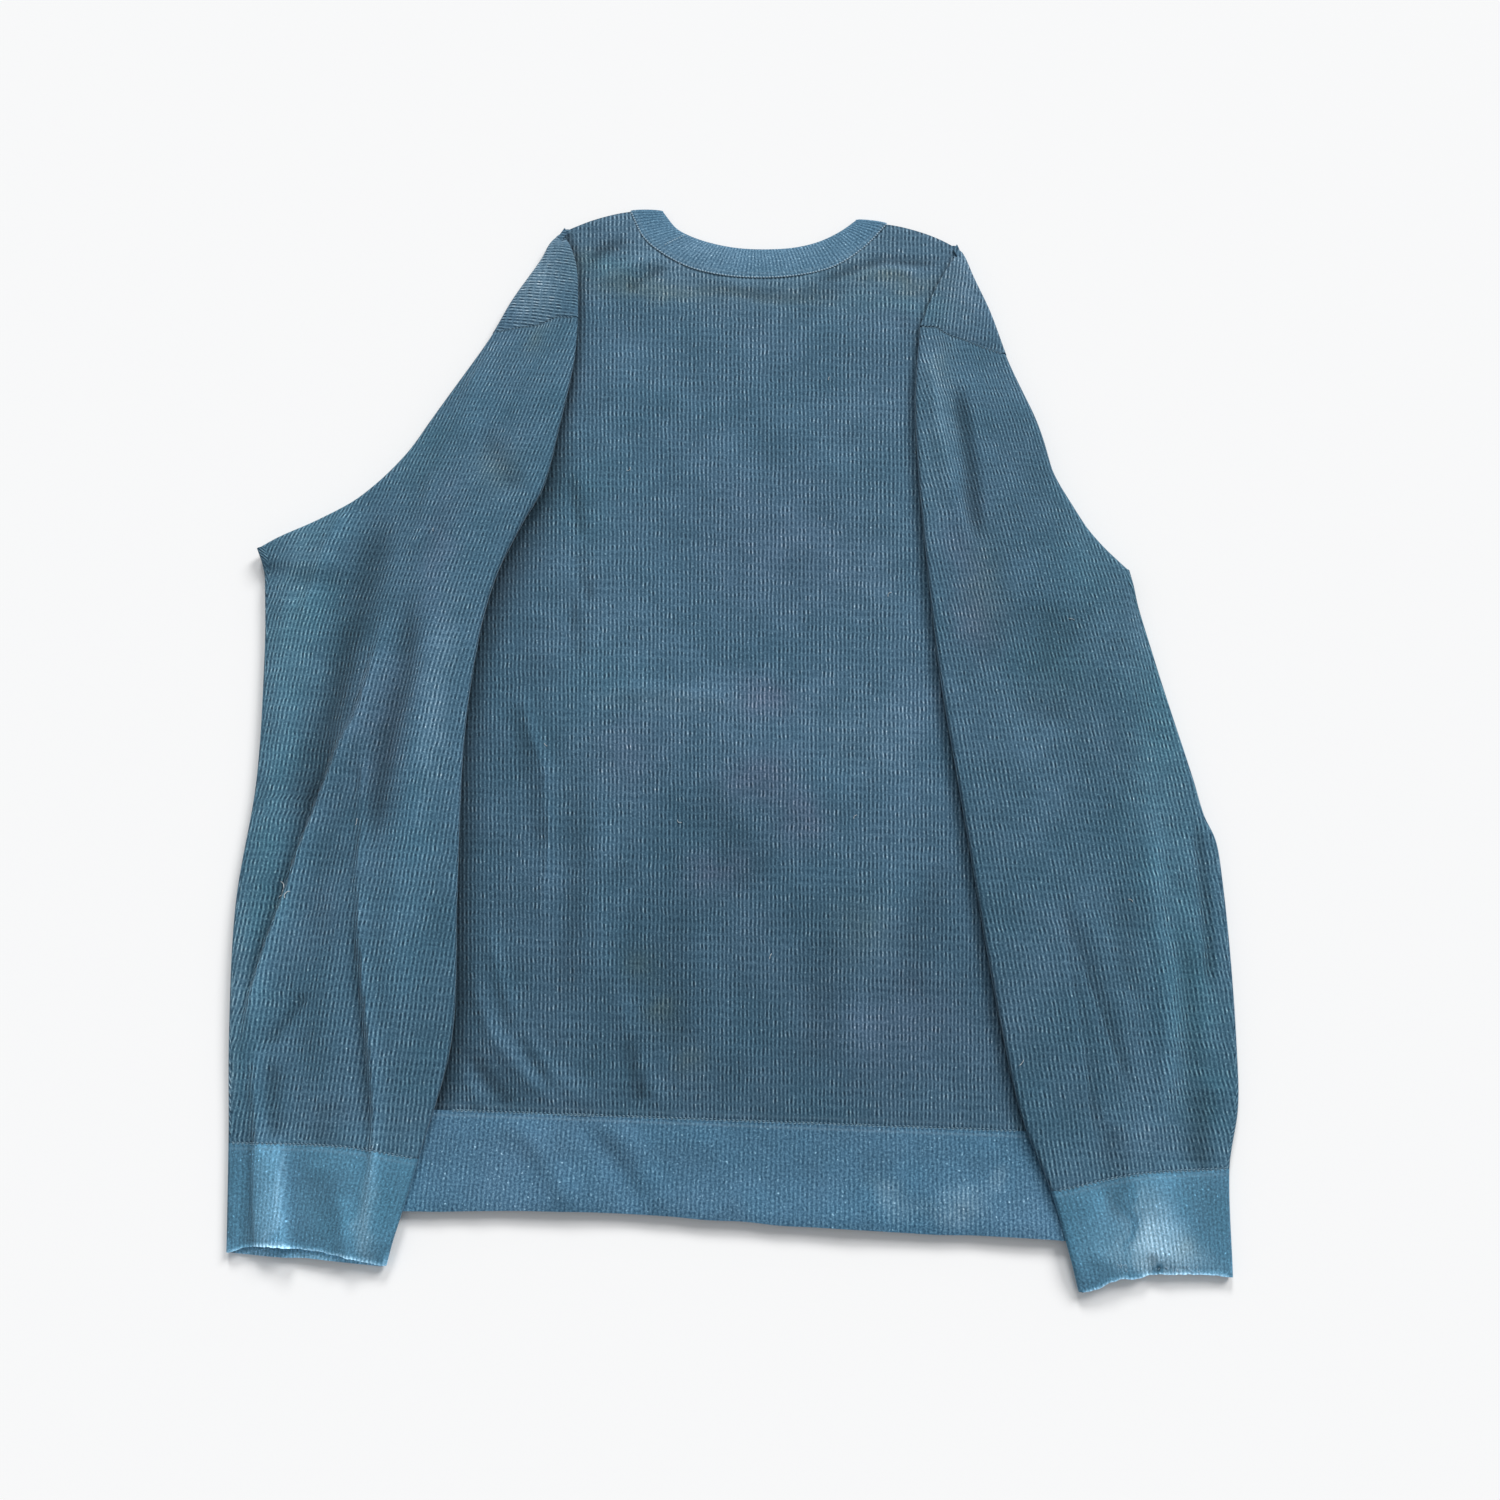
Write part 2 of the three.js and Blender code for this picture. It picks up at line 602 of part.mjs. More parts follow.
function neckband() {
  const sections = [];
  const stationsOf = (neck, level, back) => {
    const seam = line(neck.seam);
    const edge = line(neck.edge);
    for (let i = 0; i <= NECK_COLUMNS; i += 1) {
      const t = (back ? NECK_COLUMNS - i : i) / NECK_COLUMNS;
      const [p, q] = [seam(t), edge(t)];
      sections.push([
        [p[0], p[1], level + (back ? CLOTH : 0)],
        [q[0], q[1], level + (back ? CLOTH : 0)],
        [q[0], q[1], level + (back ? 0 : CLOTH)],
        [p[0], p[1], level + (back ? 0 : CLOTH)],
      ]);
    }
  };
  // over the shoulder point, from one layer to the other
  const turn = (neck, t, up) => {
    const p = line(neck.seam)(t);
    const q = line(neck.edge)(t);
    const along = new THREE.Vector2(q[0] - p[0], q[1] - p[1]).normalize();
    const away = [-along.y, along.x];
    const sign = away[1] > 0 ? 1 : -1;
    for (let i = 1; i < ARC; i += 1) {
      const a = (up ? -1 : 1) * (Math.PI / 2 - (Math.PI * i) / ARC);
      const ring = [];
      for (const [point, r] of [[p, TURN / 2], [q, TURN / 2], [q, AIR / 2], [p, AIR / 2]]) {
        const reach = r * Math.cos(a) * sign;
        ring.push([point[0] + away[0] * reach, point[1] + away[1] * reach,
          TURN / 2 + r * Math.sin(a)]);
      }
      sections.push(ring);
    }
  };
  stationsOf(BACK_NECK, STEP, true);
  turn(BACK_NECK, 0, false);
  stationsOf(FRONT_NECK, 0, false);
  turn(BACK_NECK, 1, true);
  const points = sections.flat();
  const faces = [];
  const count = sections.length;
  for (let j = 0; j < count; j += 1) {
    for (let i = 0; i < 4; i += 1) {
      const a = j * 4 + i;
      const b = j * 4 + ((i + 1) % 4);
      const c = ((j + 1) % count) * 4 + ((i + 1) % 4);
      const d = ((j + 1) % count) * 4 + i;
      faces.push([a, b, c], [a, c, d]);
    }
  }
  return body(points, faces);
}

// ---- the pieces ----

function frontPanel() {
  const place = bodyPlace(FRONT_NECK, FRONT_LEVELS);
  const main = panel(COLUMNS, FRONT_LEVELS.length - 1, place, () => 0, () => CLOTH);
  return fused(main, corner(LEFT, false), corner(RIGHT, false));
}

function backPanel() {
  const place = bodyPlace(BACK_NECK, BACK_LEVELS);
  const low = (x, y) => STEP + backRelief(x, y);
  const main = panel(COLUMNS, BACK_LEVELS.length - 1, place, low, (x, y) => low(x, y) + CLOTH);
  return fused(main, corner(LEFT, true), corner(RIGHT, true));
}

const group = new THREE.Group();
group.name = 'pullover';

function add(name, { points, faces }, colour, roughness) {
  const geometry = new THREE.BufferGeometry();
  geometry.setAttribute('position', new THREE.BufferAttribute(new Float32Array(points.flat()), 3));
  geometry.setIndex(faces.flat());
  geometry.computeVertexNormals();
  const material = new THREE.MeshStandardMaterial({ color: colour, roughness, metalness: 0 });
  const mesh = new THREE.Mesh(geometry, material);
  mesh.name = name;
  group.add(mesh);
}

const BODY_BLUE = 0x4a697d;
const RIB_BLUE = 0x557d96;
add('front_panel', frontPanel(), BODY_BLUE, 0.95);
add('back_panel', backPanel(), BODY_BLUE, 0.95);
add('neckband', neckband(), RIB_BLUE, 0.92);
add('hem_band', hemBand(), RIB_BLUE, 0.92);
add('left_sleeve', sleeve(LEFT, CRESTS.left), BODY_BLUE, 0.95);
add('right_sleeve', sleeve(RIGHT, CRESTS.right), BODY_BLUE, 0.95);
add('left_cuff', cuff(LEFT), RIB_BLUE, 0.92);
add('right_cuff', cuff(RIGHT), RIB_BLUE, 0.92);

export default group;
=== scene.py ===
"""Looks of a worn, washed-out knitted pullover, laid face down with both sleeves turned
back over the body. Shapes are worked out in millimetres and made in metres."""

import math

import bmesh
import bpy
import numpy as np
from mathutils import Matrix, Vector
from mathutils.bvhtree import BVHTree


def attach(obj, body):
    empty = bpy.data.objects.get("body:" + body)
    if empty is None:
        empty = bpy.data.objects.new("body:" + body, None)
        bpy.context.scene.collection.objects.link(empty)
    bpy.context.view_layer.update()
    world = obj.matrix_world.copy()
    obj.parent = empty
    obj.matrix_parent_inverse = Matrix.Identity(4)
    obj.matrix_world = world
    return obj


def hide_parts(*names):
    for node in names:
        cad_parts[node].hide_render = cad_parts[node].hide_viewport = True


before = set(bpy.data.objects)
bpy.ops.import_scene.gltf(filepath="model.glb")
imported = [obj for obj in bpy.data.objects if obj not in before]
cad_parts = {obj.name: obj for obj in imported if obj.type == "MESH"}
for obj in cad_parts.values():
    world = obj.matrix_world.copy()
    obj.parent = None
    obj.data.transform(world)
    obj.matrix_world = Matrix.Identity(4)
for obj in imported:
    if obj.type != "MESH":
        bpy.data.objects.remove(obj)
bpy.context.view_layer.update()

MM = 0.001

# ---- the cloth and how it is layered, in millimetres ----

CLOTH = 1.6                       # knitted wall, with its nap
KNIT = 1.35                       # the same without its nap
AIR = 0.4                         # between layers that lie on each other
LINK = 0.03                       # between linked pieces
ARM_GAP = 1.3                     # the same at the hidden curve of the armhole
STEP = CLOTH + AIR
TURN = STEP + CLOTH               # two layers
STACK = 2 * STEP + TURN           # four layers
EDGE = 6                          # how far a layer stays up past the edge under it

HEM_TOP = -290
HEM_END = -349
HEM_LEFT, HEM_RIGHT = -212, 238
HEM_DEEP = HEM_TOP - HEM_END
CUFF_DEEP = 58
NECK_DEEP = 24
UNDERARM = 66                     # height of the foot of the armholes
FLAP_FOOT = 273                   # above this a shoulder corner is turned over, not a sleeve
SHOULDER = 346                    # height of the top row of the body, before it is shaped
MIDDLE_X, MIDDLE_Y = 22, -58      # middle of the back
WALE_SLANT = 0.035                # how much the wales lean
WALE_SPREAD = 0.00039             # how much farther apart they are with each millimetre up
FOLD_DEPTH = 1.5                  # makes all folds this much deeper than their heights below


def mix(a, b, t):
    return a + (b - a) * t


def smooth(a, b, v):
    t = np.clip((v - a) / (b - a), 0, 1)
    return t * t * (3 - 2 * t)


def through(stations):
    """A smooth curve through stations (y, x), read as x at y."""
    knots = np.array(sorted(stations), float)
    at, value = knots[:, 0], knots[:, 1]
    slope = np.gradient(value, at, edge_order=1)
    slope[1:-1] = (value[2:] - value[:-2]) / (at[2:] - at[:-2])

    def read(y):
        y = np.asarray(y, float)
        i = np.clip(np.searchsorted(at, y, side="right") - 1, 0, len(at) - 2)
        gap = at[i + 1] - at[i]
        t = (y - at[i]) / gap
        c = np.clip(t, 0, 1)
        s = c * c * (3 - 2 * c)
        run = mix(value[i], value[i + 1], s)
        run += c * (1 - c) ** 2 * gap * slope[i] + c * c * (c - 1) * gap * slope[i + 1]
        return run + np.minimum(t, 0) * gap * slope[i] + np.maximum(t - 1, 0) * gap * slope[i + 1]
    return read


def straight(stations):
    """Straight runs through stations (y, x)."""
    knots = np.array(sorted(stations), float)
    return lambda y: np.interp(y, knots[:, 0], knots[:, 1])


def neck_line(points):
    """A centripetal curve through points (x, y); gives places and headings at t."""
    p = np.array(points, float)
    p = np.vstack([2 * p[0] - p[1], p, 2 * p[-1] - p[-2]])

    def place(t):
        out = []
        for one in np.atleast_1d(t):
            run = min(max(float(one), 0.0), 1.0) * (len(points) - 1)
            i = min(int(run), len(points) - 2)
            w = run - i
            a, b, c, d = p[i:i + 4]
            step = [max(math.dist(*pair) ** 0.5, 1e-6) for pair in ((a, b), (b, c), (c, d))]
            m1 = ((b - a) / step[0] - (c - a) / (step[0] + step[1]) + (c - b) / step[1]) * step[1]
            m2 = ((c - b) / step[1] - (d - b) / (step[1] + step[2]) + (d - c) / step[2]) * step[1]
            out.append(b + m1 * w + (3 * (c - b) - 2 * m1 - m2) * w ** 2
                       + (2 * (b - c) + m1 + m2) * w ** 3)
        return np.array(out)

    def heading(t):
        t = np.atleast_1d(np.asarray(t, float))
        d = place(np.minimum(t + 1e-3, 1)) - place(np.maximum(t - 1e-3, 0))
        return d / np.linalg.norm(d, axis=1)[:, None]
    return place, heading


LEFT = {
    "out": -1, "point": (-135, 352), "seam_out": (-177, 257), "seam_in": (-116, 273),
    "tip": (-321, 75), "underarm": (-240, UNDERARM),
    "fold": through([(354, -137), (340, -143), (325, -148), (288, -166), (257, -178), (218, -196),
                     (183, -213), (150, -230), (117, -257), (98, -284), (85, -307), (75, -321)]),
    "outer": through([(75, -321), (64, -316), (45, -312), (0, -305), (-90, -296), (-170, -296),
                      (-250, -287), (-313, -277), (-374, -268)]),
    "inner": through([(273, -116), (233, -116), (178, -122), (130, -129), (101, -141),
                      (60, -155), (14, -162), (-60, -164), (-164, -157), (-249, -151),
                      (-318, -163), (-376, -175)]),
    "flap": through([(273, -116), (320, -121), (352, -133)]),
    "armhole": straight([(257, -170), (210, -170.5), (160, -175), (110, -190), (84, -211),
                         (UNDERARM, -240)]),
    "cuff_seam": through([(0, -318), (0.4, -313), (1, -313)]),
    "cuff_upper": through([(0, -377), (0.15, -374.5), (0.35, -371.5), (0.5, -369.5),
                           (0.7, -369), (0.88, -369.5), (1, -372.5)]),
    "cuff_lower": through([(0, -377), (0.25, -375.5), (0.5, -374), (0.65, -374.5), (1, -373)]),
    "mouth": (0.68, 0.26, 2.6), "inside": 1.6,
    "side": through([(HEM_TOP, HEM_LEFT), (-100, -227), (UNDERARM, -240)]),
    "axis": through([(270, -140), (0, -205), (-345, -224)]),
    "hem_side": HEM_LEFT, "seam_wave": ((0.25, 0.15, 3.6), (0.5, 0.14, -1.2)),
    "flap_turn": math.radians(-86),
}
RIGHT = {
    "out": 1, "point": (168, 347), "seam_out": (198, 250), "seam_in": (135, 274),
    "tip": (276, 79), "underarm": (266, UNDERARM),
    "fold": through([(347, 168), (325, 174), (290, 187), (250, 198.5), (231, 205), (212, 212),
                     (198, 217), (180, 222), (166, 225), (155, 227.5), (145, 231.5),
                     (134, 237), (113, 248), (104, 254), (94, 262), (79, 276)]),
    "outer": through([(79, 276), (44, 283), (-13, 296), (-68, 309), (-92, 314), (-108, 320),
                      (-130, 322), (-180, 323), (-240, 322), (-272, 320), (-307, 312),
                      (-364, 309)]),
    "inner": through([(274, 135), (212, 131), (147, 133), (69, 139), (-4, 146), (-67, 155),
                      (-127, 164), (-183, 172), (-238, 181), (-284, 191), (-323, 206),
                      (-376, 220)]),
    "flap": through([(274, 135), (308, 147), (347, 166)]),
    "armhole": straight([(257, 190.5), (210, 191.5), (160, 196), (110, 213), (84, 238),
                         (UNDERARM, 266)]),
    "cuff_seam": through([(0, -323), (0.5, -312), (1, -307)]),
    "cuff_upper": through([(0, -377), (0.1, -374.8), (0.19, -371), (0.28, -369.2),
                           (0.4, -368.6), (0.46, -366.3), (0.6, -365.6), (0.9, -365.2),
                           (1, -365.6)]),
    "cuff_lower": through([(0, -377), (0.2, -367), (0.5, -362.5), (0.9, -362.5), (1, -365.6)]),
    "mouth": (0.5, 0.4, 0.8), "inside": 0.4,
    "side": through([(HEM_TOP, HEM_RIGHT), (-100, 254), (UNDERARM, 266)]),
    "axis": through([(270, 160), (0, 215), (-345, 262)]),
    "hem_side": HEM_RIGHT, "seam_wave": ((0.17, 0.12, 4.6), (0.55, 0.2, 1.3)),
    "flap_turn": math.radians(6),
}
SIDES = (LEFT, RIGHT)

BACK_NECK = {
    "seam": neck_line([(-84, 373), (-73, 350), (-60, 337), (-36, 323), (-8, 316.5), (24, 316),
                       (50, 320), (72, 328), (93, 345), (111, 368)]),
    "edge": neck_line([(-60, 374), (-49, 359), (-38, 352), (-22, 346), (-2, 342), (20, 341.5),
                       (42, 344), (60, 350), (76, 360), (88, 371)]),
}
FRONT_NECK = {
    "seam": neck_line([(-84, 373), (-81, 348), (-75, 318), (-56, 288), (-24, 267), (13, 260),
                       (50, 266), (83, 286), (104, 314), (112, 345), (111, 368)]),
    "edge": neck_line([(-60, 374), (-61, 352), (-55, 328), (-40, 307), (-16, 291), (13, 285),
                       (42, 290), (66, 304), (81, 324), (88, 348), (88, 371)]),
}

# ---- folds of the cloth, placed one by one ----
# crest or trough line, height, half width on the left and on the right of its heading

LEFT_SLEEVE_FOLDS = [
    ([(-225, 41), (-228, -7), (-233, -46), (-242, -67), (-252, -102), (-260, -141),
      (-265, -171), (-271, -199), (-276, -230), (-277, -260), (-279, -280)], 3.8, 9, 2.6),
    ([(-237, 118), (-239, 71), (-244, 26), (-251, -25), (-258, -68), (-263, -109),
      (-265, -135)], -2.4, 10, 12),
    ([(-246, -57), (-256, -98), (-264, -138), (-269, -168), (-275, -196), (-280, -227),
      (-282, -254)], -2.6, 3.4, 5),
    ([(-262, 117), (-269, 81), (-278, 47), (-284, 17)], 1.6, 5, 3.5),
    ([(-299, 69), (-295, 2), (-291, -76), (-286, -155)], 1.0, 12, 14),
    ([(-211, 49), (-208, -17), (-214, -56), (-216, -100), (-215, -140)], -2.4, 9, 6),
    ([(-233, -32), (-223, -101), (-218, -153), (-214, -185), (-208, -215), (-199, -251),
      (-192, -286), (-188, -320), (-188, -347), (-187, -375)], 2.3, 4, 2.5),
    ([(-219, -169), (-212, -215), (-203, -257), (-196, -292), (-193, -314)], -1.5, 3, 5),
    ([(-199, 103), (-197, 42), (-192, -16), (-191, -65), (-192, -119), (-189, -177),
      (-184, -233), (-174, -274)], 1.7, 13, 13),
    ([(-202, 143), (-207, 99), (-213, 68)], 1.3, 4, 5),
    ([(-242, -223), (-252, -242), (-264, -259)], -1.6, 3, 3),
    ([(-266, -256), (-265, -280), (-259, -305), (-255, -325)], 1.8, 3, 4),
    ([(-258, -265), (-255, -294), (-249, -313)], -1.4, 5, 3),
    ([(-179, 176), (-157, 140), (-145, 121)], -1.2, 8, 8),
    ([(-199, 261), (-183, 201), (-183, 152)], 1.2, 12, 12),
    ([(-220, -287), (-221, -315)], -0.9, 8, 8),
    ([(-248, -305), (-239, -344), (-229, -381)], 3.2, 1.6, 16),
    ([(-266, -300), (-259, -344), (-250, -384)], -2.4, 1.8, 8),
    ([(-221, -324), (-215, -348), (-208, -370)], -0.8, 9, 9),
    ([(-204, -337), (-195, -382)], 1.4, 5, 5),
]
RIGHT_SLEEVE_FOLDS = [
    ([(139, 259), (146, 196), (157, 131), (167, 85)], 1.5, 4, 8),
    ([(160, 228), (163, 197), (168, 156), (171, 108), (172, 91)], -2.4, 5.2, 5.0),
    ([(181, 197), (197, 117), (208, 41)], 1.0, 16, 16),
    ([(223, 57), (219, -2), (212, -44)], -1.3, 22, 22),
    ([(279, -76), (278, -116), (277, -161), (281, -192), (280, -228), (277, -258), (272, -281),
      (263, -307)], 2.4, 7, 7),
    ([(293, -173), (295, -210), (294, -246), (292, -275)], -1.0, 5, 6),
    ([(307, -90), (309, -115), (310, -147), (310, -185), (308, -209)], -2.8, 3, 3.5),
    ([(213, -147), (222, -182), (226, -212), (230, -248), (233, -282), (234, -301)], -1.5, 3, 2.4),
    ([(216, -147), (231, -191), (246, -236), (259, -273)], -1.5, 3, 2.4),
    ([(227, -144), (245, -190), (258, -235)], 0.9, 7, 6),
    ([(213, -151), (223, -188), (227, -236), (230, -277)], 0.9, 6, 6),
    ([(297, -260), (298, -277), (294, -311)], -2.4, 7, 9),
    ([(243, -282), (241, -308), (241, -343)], -1.3, 8, 6),
    ([(235, -322), (228, -349), (229, -365)], 1.0, 9, 9),
    ([(271, -306), (271, -337), (266, -365)], 1.5, 14, 12),
    ([(262, -355), (262, -369)], -1.2, 2, 2.4),
    ([(264, -136), (255, -187), (252, -217)], -0.9, 14, 14),
]
BACK_FOLDS = [
    ([(-148, -182), (-142, -216), (-126, -246), (-102, -271), (-74, -287)], 2.1, 3.5, 4.5),
    ([(-137, -172), (-126, -209), (-111, -242), (-87, -269), (-59, -288)], 1.7, 4, 4),
    ([(-156, -235), (-140, -256), (-122, -275), (-106, -290)], -3.0, 4.5, 4.5),
    ([(-152, -252), (-140, -272), (-127, -290)], 1.2, 3, 3),
    ([(-118, -224), (-109, -248), (-93, -271), (-80, -283)], -1.3, 3, 3),
    ([(-132, -14), (-122, -49), (-111, -71), (-104, -116), (-103, -149),
      (-104, -187)], 1.9, 3, 3.5),
    ([(-139, -29), (-127, -60), (-116, -90), (-109, -136)], -1.1, 4, 5),
    ([(-81, -58), (-70, -115), (-68, -179), (-61, -228)], 1.1, 9, 9),
    ([(-91, -69), (-83, -129), (-85, -192), (-87, -235)], -1.0, 8, 8),
    ([(-51, -213), (-43, -243), (-32, -268), (-19, -286)], 1.9, 3.5, 4),
    ([(-44, -240), (-39, -260), (-33, -284)], -2.3, 3.5, 5.5),
    ([(-113, 146), (-105, 118), (-99, 91)], -1.9, 3.5, 3),
    ([(-102, 87), (-96, 64), (-89, 43)], -1.7, 3, 3),
    ([(-104, 57), (-98, 27), (-94, -2)], -1.6, 3, 3),
    ([(-120, 263), (-116, 290), (-116, 319), (-105, 336), (-83, 346)], -3.0, 5, 6),
    ([(-102, 304), (-74, 326), (-53, 327)], 1.2, 5, 5),
    ([(56, 311), (78, 322), (110, 334), (140, 333), (158, 334)], -2.2, 3.4, 4),
    ([(84, 318), (110, 326), (136, 322)], 1.3, 4, 4),
    ([(-84, 298), (-70, 313), (-54, 324)], -2.0, 3.4, 4),
    ([(-35, 306), (17, 298), (84, 304)], -1.2, 5, 5),
    ([(127, 299), (130, 263), (134, 212)], -1.8, 7, 7),
    ([(-70, 265), (-81, 205), (-92, 155)], 0.8, 16, 16),
    ([(127, -115), (107, -167), (93, -217), (88, -270)], 1.3, 12, 14),
    ([(145, -127), (129, -179), (122, -222)], -1.0, 12, 10),
    ([(76, -174), (70, -224), (68, -265)], -0.9, 12, 12),
    ([(-5, -177), (7, -226), (17, -267)], 0.8, 13, 13),
    ([(-18, -159), (-22, -209), (-7, -256)], -0.8, 12, 12),
    ([(-10, -80), (11, -119), (38, -144)], -0.7, 18, 18),
    ([(179, -250), (183, -270), (185, -284)], -2.0, 8, 8),
    ([(153, -19), (156, -53), (162, -80)], -1.0, 8, 8),
    ([(-85, -23), (-46, -18), (-12, -21), (17, -23)], 0.9, 5, 5),
    ([(-53, 223), (8, 150), (65, 82)], 0.5, 12, 12),
    ([(-27, 276), (42, 192), (106, 114)], 0.5, 12, 12),
]
HEM_FOLDS = [
    ([(-119, -288), (-93, -311), (-69, -344)], 1.3, 7, 7),
    ([(-79, -287), (-50, -315), (-32, -344)], -1.2, 6, 6),
    ([(-59, -286), (-34, -314), (-13, -344)], 1.1, 7, 7),
    ([(0, -286), (13, -313), (29, -344)], 0.7, 9, 9),
    ([(113, -312), (130, -325), (153, -342)], 0.9, 9, 9),
    ([(172, -290), (163, -313), (151, -338)], 1.0, 8, 8),
    ([(95, -286), (89, -310), (85, -343)], -0.7, 9, 9),
]


def relief(folds, x, y):
    """Height of the folds at places x, y."""
    total = np.zeros(np.broadcast(x, y).shape)
    for line, high, left, right in folds:
        p = np.array(line, float)
        spans = np.linalg.norm(np.diff(p, axis=0), axis=1)
        near = np.full(total.shape, np.inf)
        side, along = np.zeros(total.shape), np.zeros(total.shape)
        start = 0.0
        for a, b, span in zip(p[:-1], p[1:], spans):
            d = b - a
            t = np.clip(((x - a[0]) * d[0] + (y - a[1]) * d[1]) / span ** 2, 0, 1)
            ex, ey = x - a[0] - t * d[0], y - a[1] - t * d[1]
            gap = np.hypot(ex, ey)
            closer = gap < near
            near = np.where(closer, gap, near)
            side = np.where(closer, d[0] * ey - d[1] * ex, side)
            along = np.where(closer, start + t * span, along)
            start += span
        reach = along / start
        ends = smooth(0, 0.22, reach) * smooth(0, 0.18, 1 - reach)
        total += high * ends * np.exp(-(near / np.where(side > 0, left, right)) ** 2)
    return FOLD_DEPTH * total


def fold_painted_light(fold):
    """Painted light and shade of a fold: a painted highlight on its crest, and a stronger painted
    shade in its trough.
    """
    return np.where(fold > 0, 0.42, 1.15) * fold / 3.4


def ripple(x, y, size, seed):
    """Soft unevenness between -1 and 1, in lumps of about this size."""
    table = np.random.RandomState(seed).uniform(-1, 1, (64, 64))
    gx, gy = np.asarray(x) / size + 31.7, np.asarray(y) / size + 17.3
    i, j = np.floor(gx).astype(int), np.floor(gy).astype(int)
    fx, fy = gx - i, gy - j
    sx, sy = fx * fx * (3 - 2 * fx), fy * fy * (3 - 2 * fy)
    low = mix(table[i % 64, j % 64], table[(i + 1) % 64, j % 64], sx)
    high = mix(table[i % 64, (j + 1) % 64], table[(i + 1) % 64, (j + 1) % 64], sx)
    return mix(low, high, sy)


def slack(x, y):
    """Small waves of cloth that isn't pulled flat."""
    return (0.75 * ripple(x + 0.4 * y, y, 38, 3) + 0.42 * ripple(x, y - 0.5 * x, 17, 5)
            + 0.14 * ripple(x, y, 8, 8))


# ---- where the cloth is faded, soiled and stained, and where light and shade are painted on it ----
# place, half sizes, amount; the first list is paler above zero and darker below, and holds real
# fading together with painted highlights and painted shade, such as highlight bands on the sleeves
# and dark strips and crease lines on the cuffs

FADE_AND_PAINTED_LIGHT = [
    (13, 335, 130, 46, 0.08), (-38, -26, 62, 8, 0.07), (10, -235, 210, 100, -0.24),
    (-20, -120, 90, 70, -0.08), (120, 120, 60, 120, 0.02), (90, -60, 50, 40, 0.04),
    (-128, -60, 30, 160, -0.12), (170, -60, 24, 160, -0.10),
    (-288, 40, 20, 90, 0.03), (-250, -60, 16, 120, -0.16), (-184, -60, 13, 150, 0.05),
    (-150, 150, 26, 70, 0.03), (-222, -60, 18, 90, -0.20), 
    (-205, 120, 20, 60, -0.12), (-160, 230, 30, 40, -0.06),
    (205, 130, 34, 90, -0.16), (250, -60, 40, 90, -0.16), (300, -60, 14, 110, 0.02),
    (190, -120, 16, 120, -0.02), (240, -220, 40, 60, -0.08), (262, -286, 10, 18, 0.10),
    (150, 180, 12, 70, 0.06), (270, 60, 20, 60, -0.10),
    (113, -326, 12, 10, 0.20), (154, -327, 14, 12, 0.22), (177, -318, 8, 8, 0.20),
    (140, -338, 34, 8, 0.14), (60, -330, 60, 12, 0.04), (-120, -330, 50, 14, 0.02),
    (-250, -345, 9, 44, 0.08), (-272, -345, 6, 40, -0.24), (-243, -345, 2, 40, 0.10),
    (-187, -345, 5, 38, 0.24), (-288, -262, 12, 90, 0.12),
    (-218, -352, 16, 18, -0.06), (-206, -330, 10, 20, 0.05),
    (258, -344, 15, 22, 0.36), (254, -354, 9, 12, 0.24), (274, -350, 18, 14, 0.22),
    (226, -345, 14, 18, 0.06), (280, -360, 20, 9, 0.24),
    (296, -330, 10, 24, -0.16), (250, -342, 3, 26, -0.40), (262, -362, 2.6, 3.6, -1.2),
    (-150, 305, 18, 38, 0.16), (168, 305, 18, 36, 0.06),
    (-30, 338, 24, 12, 0.03), (70, 340, 30, 12, 0.03),
]
OLIVE = [
    (-84, 306, 26, 10, 0.62), (112, 318, 22, 7, 0.75), (-46, 302, 22, 9, 0.36),
    (134, 312, 20, 8, 0.5),
    (-144, 252, 9, 12, 0.50), (-161, 140, 14, 18, 0.35), (98, -174, 18, 22, 0.35),
    (-24, -227, 10, 12, 0.55), (-41, -197, 9, 10, 0.50), (-7, -256, 8, 10, 0.45),
    (282, -352, 8, 8, 0.60), (-118, 330, 9, 10, 0.5), (150, 236, 8, 16, 0.3),
    (104, -322, 8, 6, 0.25), (176, 60, 14, 40, 0.30), (13, 300, 66, 7, 0.40),
]
VIOLET = [
    (31, -23, 18, 12, 0.55), (56, -104, 14, 16, 0.50), (6, -139, 20, 12, 0.45),
    (29, -78, 22, 16, 0.50), (170, 33, 14, 30, 0.35), (160, 90, 14, 40, 0.25),
    (-60, -60, 30, 30, 0.30), (-210, -70, 12, 60, 0.15), (-196, 60, 14, 60, 0.25),
    (40, 90, 60, 60, 0.20), (120, -230, 40, 30, 0.25), (-225, -40, 16, 40, 0.10),
]
TEAL = [
    (-285, 30, 26, 120, 0.60), (-280, -170, 16, 110, 0.45), (290, -40, 26, 130, 0.55),
    (223, -2, 26, 40, 0.45), (250, 90, 24, 60, 0.40), (300, -230, 18, 70, 0.45),
    (-75, -30, 40, 70, 0.20), (-100, 120, 30, 60, 0.20), (-96, 320, 24, 12, 0.55),
    (112, 297, 30, 9, 0.60), (146, 288, 14, 14, 0.4),
    (40, 318, 70, 7, 0.2),
    (-210, 150, 26, 30, 0.3), (270, -340, 60, 30, 0.2), (-220, -345, 60, 34, 0.3),
]
STAINS = {"fade_and_painted_light": FADE_AND_PAINTED_LIGHT, "olive": OLIVE, "violet": VIOLET, "teal": TEAL}


def stained(blobs, x, y):
    bend_x = x + 5 * ripple(x, y, 16, 21) + 2 * ripple(x, y, 6, 22)
    bend_y = y + 5 * ripple(x, y, 16, 23) + 2 * ripple(x, y, 6, 24)
    total = np.zeros(np.broadcast(x, y).shape)
    for bx, by, wide, tall, amount in blobs:
        total += amount * np.exp(-((bend_x - bx) / wide) ** 2 - ((bend_y - by) / tall) ** 2)
    return total


# ---- making meshes ----

SHARP = 0.95


